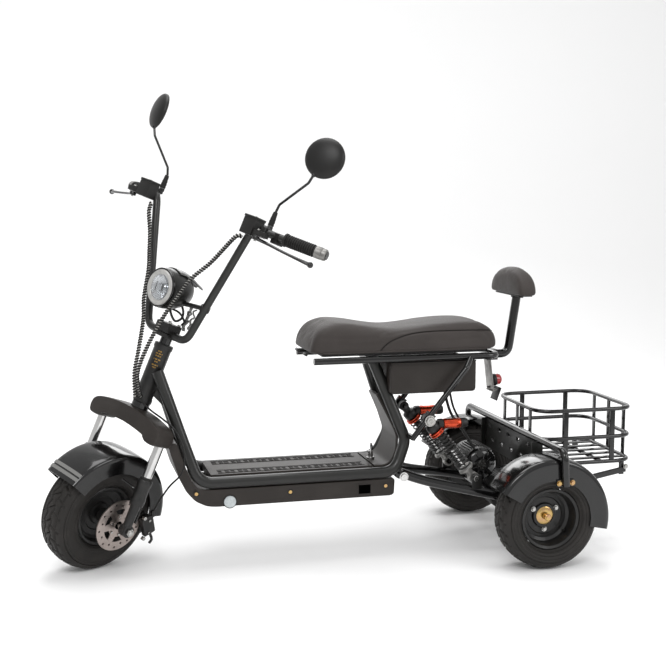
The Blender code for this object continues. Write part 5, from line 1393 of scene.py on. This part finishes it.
# ---- Rear carriage --------------------
def swing_arm():
    shapes = [drum(0.015, (PIVOT[0], -0.086, PIVOT[1]), (PIVOT[0], 0.086, PIVOT[1]), 36, edge=0.001),
              drum(0.0128, (1.182, -0.14, 0.168), (1.182, 0.14, 0.168), 28)]
    tabs = []
    for side in (-1, 1):
        path = [(PIVOT[0] + 0.004, side * 0.07, PIVOT[1]), (0.98, side * 0.084, 0.212),
                (1.11, side * 0.118, 0.184),
                (1.205, side * 0.13, 0.162)]
        shapes.append(pipe(curved(path, 8), 0.0145, 24))
        shapes.append(drum(0.0065, (SHOCK_FOOT[0], side * 0.092, SHOCK_FOOT[1]),
                           (SHOCK_FOOT[0], side * 0.134, SHOCK_FOOT[1]), 20))
        tabs.append(block((0.03, 0.0075, 0.052), (SHOCK_FOOT[0] + 0.004, side * 0.128,
                                                  SHOCK_FOOT[1] - 0.018)))
        tabs.append(block((0.034, 0.036, 0.044), (1.219, side * 0.13, 0.156)))
    piece("swing_arm_tubes", shapes, GLOSS, "rear_carriage", "black_paint", ["swing_arm"], angle=60)
    piece("swing_arm_tabs", tabs, CAST, "rear_carriage", "black_paint", bevel=0.002)
    ends = []
    for side in (-1, 1):
        out = Vector((0, side, 0))
        foot = Vector((SHOCK_FOOT[0], side * 0.133, SHOCK_FOOT[1]))
        ends += [hexagon(0.0088, foot, foot + out * 0.006)]
    piece("shock_foot_nuts", ends, ZINC, "rear_carriage", "steel")
    pins = []
    for side in (-1, 1):
        out = Vector((0, side, 0))
        spot = Vector((0.896, side * 0.1235, 0.239))
        pins += [drum(0.0135, spot, spot + out * 0.0024, 36, edge=0.0005),
                 drum(0.01, spot + out * 0.0024, spot + out * 0.0075, 36, edge=0.0012),
                 drum(0.004, spot + out * 0.0075, spot + out * 0.0079, 6)]
    piece("pivot_bolts", pins, CHROME, "frame", "chrome")


def axle_unit():
    profile = [(0.0, 0.0495), (0.03, 0.0495), (0.034, 0.0465), (0.05, 0.044), (0.0575, 0.04)]
    for k in range(5):
        y = 0.034 - k * 0.012
        profile += [(0.058, y + 0.0035), (0.058, y - 0.001), (0.0545, y - 0.0025), (0.0545, y - 0.0055)]
    profile += [(0.058, -0.02), (0.056, -0.024), (0.034, -0.0255), (0.0, -0.0255)]
    case = y_lathe(profile, 72, False, (REAR_X, 0, AXLE_Z))
    tubes = [drum(0.0238, (REAR_X, -0.22, AXLE_Z), (REAR_X, 0.22, AXLE_Z), 40, edge=0.001),
             drum(0.03, (REAR_X, -0.22, AXLE_Z), (REAR_X, -0.208, AXLE_Z), 40, edge=0.001),
             drum(0.03, (REAR_X, 0.208, AXLE_Z), (REAR_X, 0.22, AXLE_Z), 40, edge=0.001)]
    piece("rear_axle_housing", [case] + tubes, CAST, "rear_carriage", "black_paint", ["rear_axle_unit"],
          angle=32)
    shafts = []
    for side in (-1, 1):
        shafts += [drum(0.0096, (REAR_X, side * 0.22, AXLE_Z), (REAR_X, side * 0.328, AXLE_Z), 32,
                        edge=0.001),
                   drum(0.006, (REAR_X, side * 0.328, AXLE_Z), (REAR_X, side * 0.3298, AXLE_Z), 32)]
    piece("half_shafts", shafts, BRASS, "rear_carriage", "steel")
    bolts = []
    for x, z in ring_of(0.044, 8, (REAR_X, AXLE_Z), math.pi / 8):
        bolts.append(hexagon(0.0042, (x, 0.0455, z), (x, 0.0505, z)))
        bolts.append(hexagon(0.0042, (x, -0.0245, z), (x, -0.029, z)))
    piece("housing_bolts", bolts, ZINC, "rear_carriage", "steel")


def motor():
    middle = (1.168, 0.012, 0.243)
    body = y_lathe([(0.0, 0.073), (0.028, 0.074), (0.044, 0.071), (0.05, 0.064), (0.0505, 0.046),
                    (0.0505, -0.038),
                    (0.048, -0.052), (0.04, -0.06), (0.022, -0.0635), (0.0, -0.064)], 64, False, middle)
    fins = []
    ring = ((0.049, -0.036), (0.0556, -0.033), (0.0556, 0.043), (0.049, 0.046))
    for c, s in ring_of(1.0, 40):
        rings = [[(middle[0] + r * c - d * s, middle[1] + y, middle[2] + r * s + d * c) for r, y in ring]
                 for d in (-0.001, 0.001)]
        fins.append(loft(rings))
    piece("drive_motor_case", [body], CAST, "rear_carriage", "black_paint", ["drive_motor"], angle=32)
    piece("drive_motor_fins", fins, CAST, "rear_carriage", "black_paint", angle=32)
    covers = [lathe([(0.02, -0.0655), (0.04, -0.062), (0.047, -0.0555), (0.0495, -0.048), (0.048, -0.047),
                     (0.02, -0.06)],
                    56, True, middle, (0, 1, 0))]
    for c, s in ring_of(1.0, 9):
        ends = [Vector((middle[0] + r * c, middle[1] - 0.064, middle[2] + r * s)) for r in (0.018, 0.034)]
        covers.append(pipe(ends, 0.0022, 8))
    piece("drive_motor_cover", covers, GLOSS, "rear_carriage", "black_paint")
    bolts = []
    for x, z in ring_of(0.038, 6, (middle[0], middle[2])):
        bolts.append(hexagon(0.0036, (x, middle[1] - 0.06, z), (x, middle[1] - 0.0635, z)))
    bolts.append(drum(0.014, (middle[0], middle[1] - 0.064, middle[2]),
                      (middle[0], middle[1] - 0.056, middle[2]), 36, edge=0.001))
    piece("motor_bolts", bolts, ZINC, "rear_carriage", "steel")
    lead = [pipe(curved([(1.15, -0.03, 0.29), (1.12, -0.02, 0.34), (1.08, -0.01, 0.4), (1.06, 0.0, 0.476)],
                        8), 0.0042, 12),
            pipe(curved([(1.16, 0.04, 0.296), (1.135, 0.034, 0.35), (1.1, 0.02, 0.41), (1.08, 0.01, 0.476)],
                        8), 0.0034, 12)]
    for k, shape in enumerate(lead):
        wire = build(f"motor_lead_{k}", [shape], WRAP, angle=60)
        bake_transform(wire)


def hoop():
    path = rounded([(HOOP_X + 0.006, -HOOP_SIDE, 0.248), (HOOP_X, -HOOP_SIDE, HOOP_TOP),
                    (HOOP_X, HOOP_SIDE, HOOP_TOP),
                    (HOOP_X + 0.006, HOOP_SIDE, 0.248)], 0.03, 10)
    shapes = [pipe(path, 0.0105, 24)]
    for side in (-1, 1):
        shapes.append(drum(0.0085, (HOOP_X - 0.008, side * 0.196, 0.21), (1.27, side * 0.196, 0.1716), 20))
    piece("rear_hoop_tube", shapes, GLOSS, "rear_carriage", "black_paint", ["rear_hoop"], angle=60)
    slots = []
    for row in (-0.018, 0.024):
        for k in range(-2, 3):
            x = k * 0.074 + row * 0.5
            loop = eased([(x - 0.013, row - 0.0055), (x + 0.013, row - 0.0055), (x + 0.013, row + 0.0055),
                          (x - 0.013, row + 0.0055)], 0.005, 3)
            slots.append(loop)
    plate = sheet_metal([(-0.2, -0.05), (0.2, -0.05), (0.2, 0.047), (-0.2, 0.047)], slots, 0.005)
    upright = Matrix.Rotation(math.pi / 2, 4, "Z") @ Matrix.Rotation(math.pi / 2, 4, "X")
    turn = Matrix.Translation((HOOP_X - 0.004, 0, 0.293)) @ upright
    tabs = [block((0.034, 0.006, 0.15), (HOOP_X - 0.004, side * 0.196, 0.262)) for side in (-1, 1)]
    piece("hoop_panel", [moved(plate, turn)] + tabs, SATIN, "rear_carriage", "black_paint")
    feet = []
    for side in (-1, 1):
        feet.append(block((0.052, 0.004, 0.02), (HOOP_X + 0.007, side * 0.366, 0.256)))
    piece("hoop_feet", feet, GLOSS, "rear_carriage", "black_paint", bevel=0.001)


def rear_fenders():
    for name, side in SIDES.items():
        place = REAR_AXLE @ Matrix.Translation((0, side * TRACK / 2, 0))
        lips = (side < 0, side > 0)
        piece(f"rear_fender_{name}_arch", [arch(0.176, 0.0555, 0.062, -12, 150, lips)], GLOSS,
              "rear_carriage",
              "black_paint", [f"rear_fender_{name}"], place=place, angle=45)
        nuts = []
        for x in (0.012, 0.052):
            spot = Vector((x, side * 0.0623, 0.1085))
            out = Vector((0, side, 0))
            nuts += [drum(0.0078, spot, spot + out * 0.0012, 28),
                     hexagon(0.0062, spot + out * 0.0012, spot + out * 0.0055)]
        piece(f"fender_nuts_{name}", nuts, BRASS, "rear_carriage", "steel", place=place)


def shock_point(distance, side):
    """A point this far along a shock, from its upper bolt."""
    top = Vector((SHOCK_TOP[0], side * SHOCK_SIDE, SHOCK_TOP[1]))
    foot = Vector((SHOCK_FOOT[0], side * SHOCK_SIDE, SHOCK_FOOT[1]))
    return top + (foot - top).normalized() * distance


SHOCK_LENGTH = math.dist(SHOCK_TOP, SHOCK_FOOT)


def shocks():
    for name, side in SIDES.items():
        top = shock_point(0, side)
        along = shock_point(1, side) - top
        upper, lower = f"shock_upper_{name}", f"shock_lower_{name}"
        eye = lathe([(0.0068, -0.0105), (0.013, -0.0105), (0.0148, -0.009), (0.0148, 0.009), (0.013, 0.0105),
                     (0.0068, 0.0105)], 36,
                    True, top, (0, 1, 0))
        head = [eye, drum(0.012, shock_point(0.008, side), shock_point(0.026, side), 28),
                lathe([(0.011, 0.02), (0.019, 0.024), (0.0205, 0.027), (0.0205, 0.04), (0.019, 0.044),
                       (0.011, 0.046)], 40, True, top, along)]
        piece(f"shock_head_{name}", head, CAST, upper, "black_paint", [f"shock_body_{name}"])
        rings = [lathe([(0.011, z), (0.0225, z), (0.0238, z + 0.0015), (0.0238, z + 0.004),
                        (0.0225, z + 0.0055), (0.011, z + 0.0055)], 40,
                       True, top, along) for z in (0.0465, 0.0535)]
        tank_at = shock_point(0.03, side) + Vector((0.052, 0, 0.006))
        tank = lathe([(0.0, -0.02), (0.012, -0.02), (0.0146, -0.018), (0.0146, 0.015), (0.0152, 0.0165),
                      (0.0152, 0.031),
                      (0.0135, 0.0345), (0.0, 0.035)], 40, False, tank_at, (1, 0, 0))
        grooves = [lathe([(0.0146, x), (0.0154, x), (0.0154, x + 0.0016), (0.0146, x + 0.0016)], 40, True,
                         tank_at, (1, 0, 0))
                   for x in (-0.015, -0.011)]
        piece(f"shock_tank_{name}", [tank] + grooves + rings, RED_METAL, upper, "red_anodised")
        neck = [lathe([(0.0, 0.0345), (0.0146, 0.0345), (0.0152, 0.0365), (0.0152, 0.05), (0.012, 0.056),
                       (0.0, 0.057)], 40,
                      False, tank_at, (1, 0, 0)), lathe([(0.0, -0.035), (0.015, -0.035), (0.0154, -0.033),
                                                         (0.0154, -0.0215), (0.0, -0.02)], 40, False, tank_at,
                                                        (1, 0, 0)),
                drum(0.009, shock_point(0.03, side), tank_at - Vector((0.02, 0, 0)), 20)]
        piece(f"shock_tank_cap_{name}", neck, CAST, upper, "black_paint")
        piece(f"shock_barrel_{name}", [lathe([(0.0062, 0.05), (0.0108, 0.05), (0.0108, 0.124), (0.0062,
                                                                                                0.124)], 32,
                                             True, top, along)],
              SATIN, upper, "black_paint")
        shaft = drum(0.0054, shock_point(0.088, side), shock_point(SHOCK_LENGTH - 0.012, side), 28)
        foot = shock_point(SHOCK_LENGTH, side)
        fork = lathe([(0.009, -0.0105), (0.014, -0.0105), (0.0154, -0.009), (0.0154, 0.009), (0.014, 0.0105),
                      (0.009, 0.0105)], 36, True,
                     foot, (0, 1, 0))
        link = lathe([(0.0, SHOCK_LENGTH - 0.034), (0.0108, SHOCK_LENGTH - 0.034),
                      (0.0108, SHOCK_LENGTH - 0.014),
                      (0.0, SHOCK_LENGTH - 0.01)], 28, False, top, along)
        perch = lathe([(0.005, SHOCK_LENGTH - 0.04), (0.022, SHOCK_LENGTH - 0.04),
                       (0.0238, SHOCK_LENGTH - 0.0385),
                       (0.0238, SHOCK_LENGTH - 0.033), (0.018, SHOCK_LENGTH - 0.031),
                       (0.005, SHOCK_LENGTH - 0.031)], 40, True, top, along)
        piece(f"shock_rod_{name}_shaft", [shaft], CHROME, lower, "chrome", [f"shock_rod_{name}"])
        piece(f"shock_foot_{name}", [fork, link, perch], ALLOY, lower, "aluminium")
        start, end = 0.0605, SHOCK_LENGTH - 0.0425
        across = along.cross(Vector((0, 1, 0))).normalized()
        coil, turns = [], 11
        for i in range(turns * 24 + 1):
            share = i / (turns * 24)
            angle = math.tau * turns * share
            spoke = across * math.cos(angle) + Vector((0, 1, 0)) * math.sin(angle)
            eased_share = share + 0.018 * math.sin(math.tau * share)
            coil.append(shock_point(start + (end - start) * eased_share, side) + spoke * 0.019)
        spring = build(f"shock_spring_{name}_coil", [pipe(coil, 0.0024, 12)], CAST, angle=60)
        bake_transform(spring)
        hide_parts(f"shock_spring_{name}")


# ---- Basket --------------------
BASKET = (1.302, 1.612)
BASKET_SIDE = 0.162
BASKET_LEVELS = (0.418, 0.334, 0.258)
BAR_WIDE, BAR_THICK, SLAT_THICK = 0.015, 0.005, 0.0045


def basket():
    front, back = BASKET
    shapes = []
    for level in BASKET_LEVELS:
        middle = (front + back) / 2
        loop = [(middle, -BASKET_SIDE, level), (back, -BASKET_SIDE, level), (back, BASKET_SIDE, level),
                (front, BASKET_SIDE, level),
                (front, -BASKET_SIDE, level), (middle, -BASKET_SIDE, level)]
        shapes.append(pipe(rounded(loop, 0.062, 10)[:-1], 0.0062, 16, closed=True))
    piece("rear_basket_rings", shapes, GLOSS, "rear_carriage", "black_paint", ["rear_basket"], angle=60)
    low, high = BASKET_LEVELS[2], BASKET_LEVELS[0]
    middle, tall = (low + high) / 2, high - low
    bars = []
    for side in (-1, 1):
        for share in (0.28, 0.77):
            bars.append(block((BAR_WIDE, BAR_THICK, tall),
                              (front + (back - front) * share, side * BASKET_SIDE, middle)))
        stay = loft([[(x, side * (y + out), z + lift) for out,
                      lift in ((-0.0025, -0.009), (0.0025, -0.009), (0.0025, 0.009),
                                                                       (-0.0025, 0.009))]
                     for x, y, z in ((1.307, 0.1456, 0.1755), (1.589, 0.1622, 0.2316))])
        bars += [stay, block((BAR_WIDE, BAR_THICK, 0.05), (1.576, side * (BASKET_SIDE - 0.003),
                                                           low - 0.0185))]
    for x in BASKET:
        for share in (-0.6, 0.0, 0.6):
            bars.append(block((BAR_THICK, BAR_WIDE, tall), (x, share * BASKET_SIDE, middle)))
    piece("basket_uprights", bars, GLOSS, "rear_carriage", "black_paint", bevel=0.0008)
    slats = []
    for share in (-0.66, -0.33, 0.0, 0.33, 0.66):
        slats.append(block((back - front, 0.018, SLAT_THICK), ((front + back) / 2, share * BASKET_SIDE, low)))
    for share in (0.3, 0.7):
        slats.append(block((0.016, 2 * BASKET_SIDE, SLAT_THICK),
                           (front + (back - front) * share, 0, low - SLAT_THICK)))
    piece("basket_slats", slats, GLOSS, "rear_carriage", "black_paint", bevel=0.0008)
    bolts = []
    for side in (-1, 1):
        spot, out = Vector((1.586, side * (BASKET_SIDE + 0.005), 0.24)), Vector((0, side, 0))
        bolts += [drum(0.008, spot, spot + out * 0.0015, 28),
                  hexagon(0.0064, spot + out * 0.0015, spot + out * 0.006)]
    piece("basket_bolts", bolts, ZINC, "rear_carriage", "steel")


bpy.context.scene.view_settings.view_transform = "Standard"
make_camera()
make_stage()
light("key", (-1.6, -3.4, 3.6), (0, 0, 0.5), 2.0, 70, size_y=1.4)
light("fill", (2.8, -2.6, 2.2), (0, 0, 0.4), 1.6, 34)
light("top", (0.0, 0.4, 4.2), (0, 0, 0.3), 2.6, 80)
light("back", (0.6, 3.2, 2.6), (0, 0, 0.5), 2.0, 40)
for make in (front_wheel, rear_wheels, fork, crown_cover, front_fender, caliper, handlebar, grips,
             brake_controls,
             mirrors, headlight, hoses, head_tube, main_tubes, seat_subframe, hull, deck, upstand,
             under_seat_box,
             saddle, backrest, swing_arm, axle_unit, motor, hoop, rear_fenders, shocks, basket):
    make()
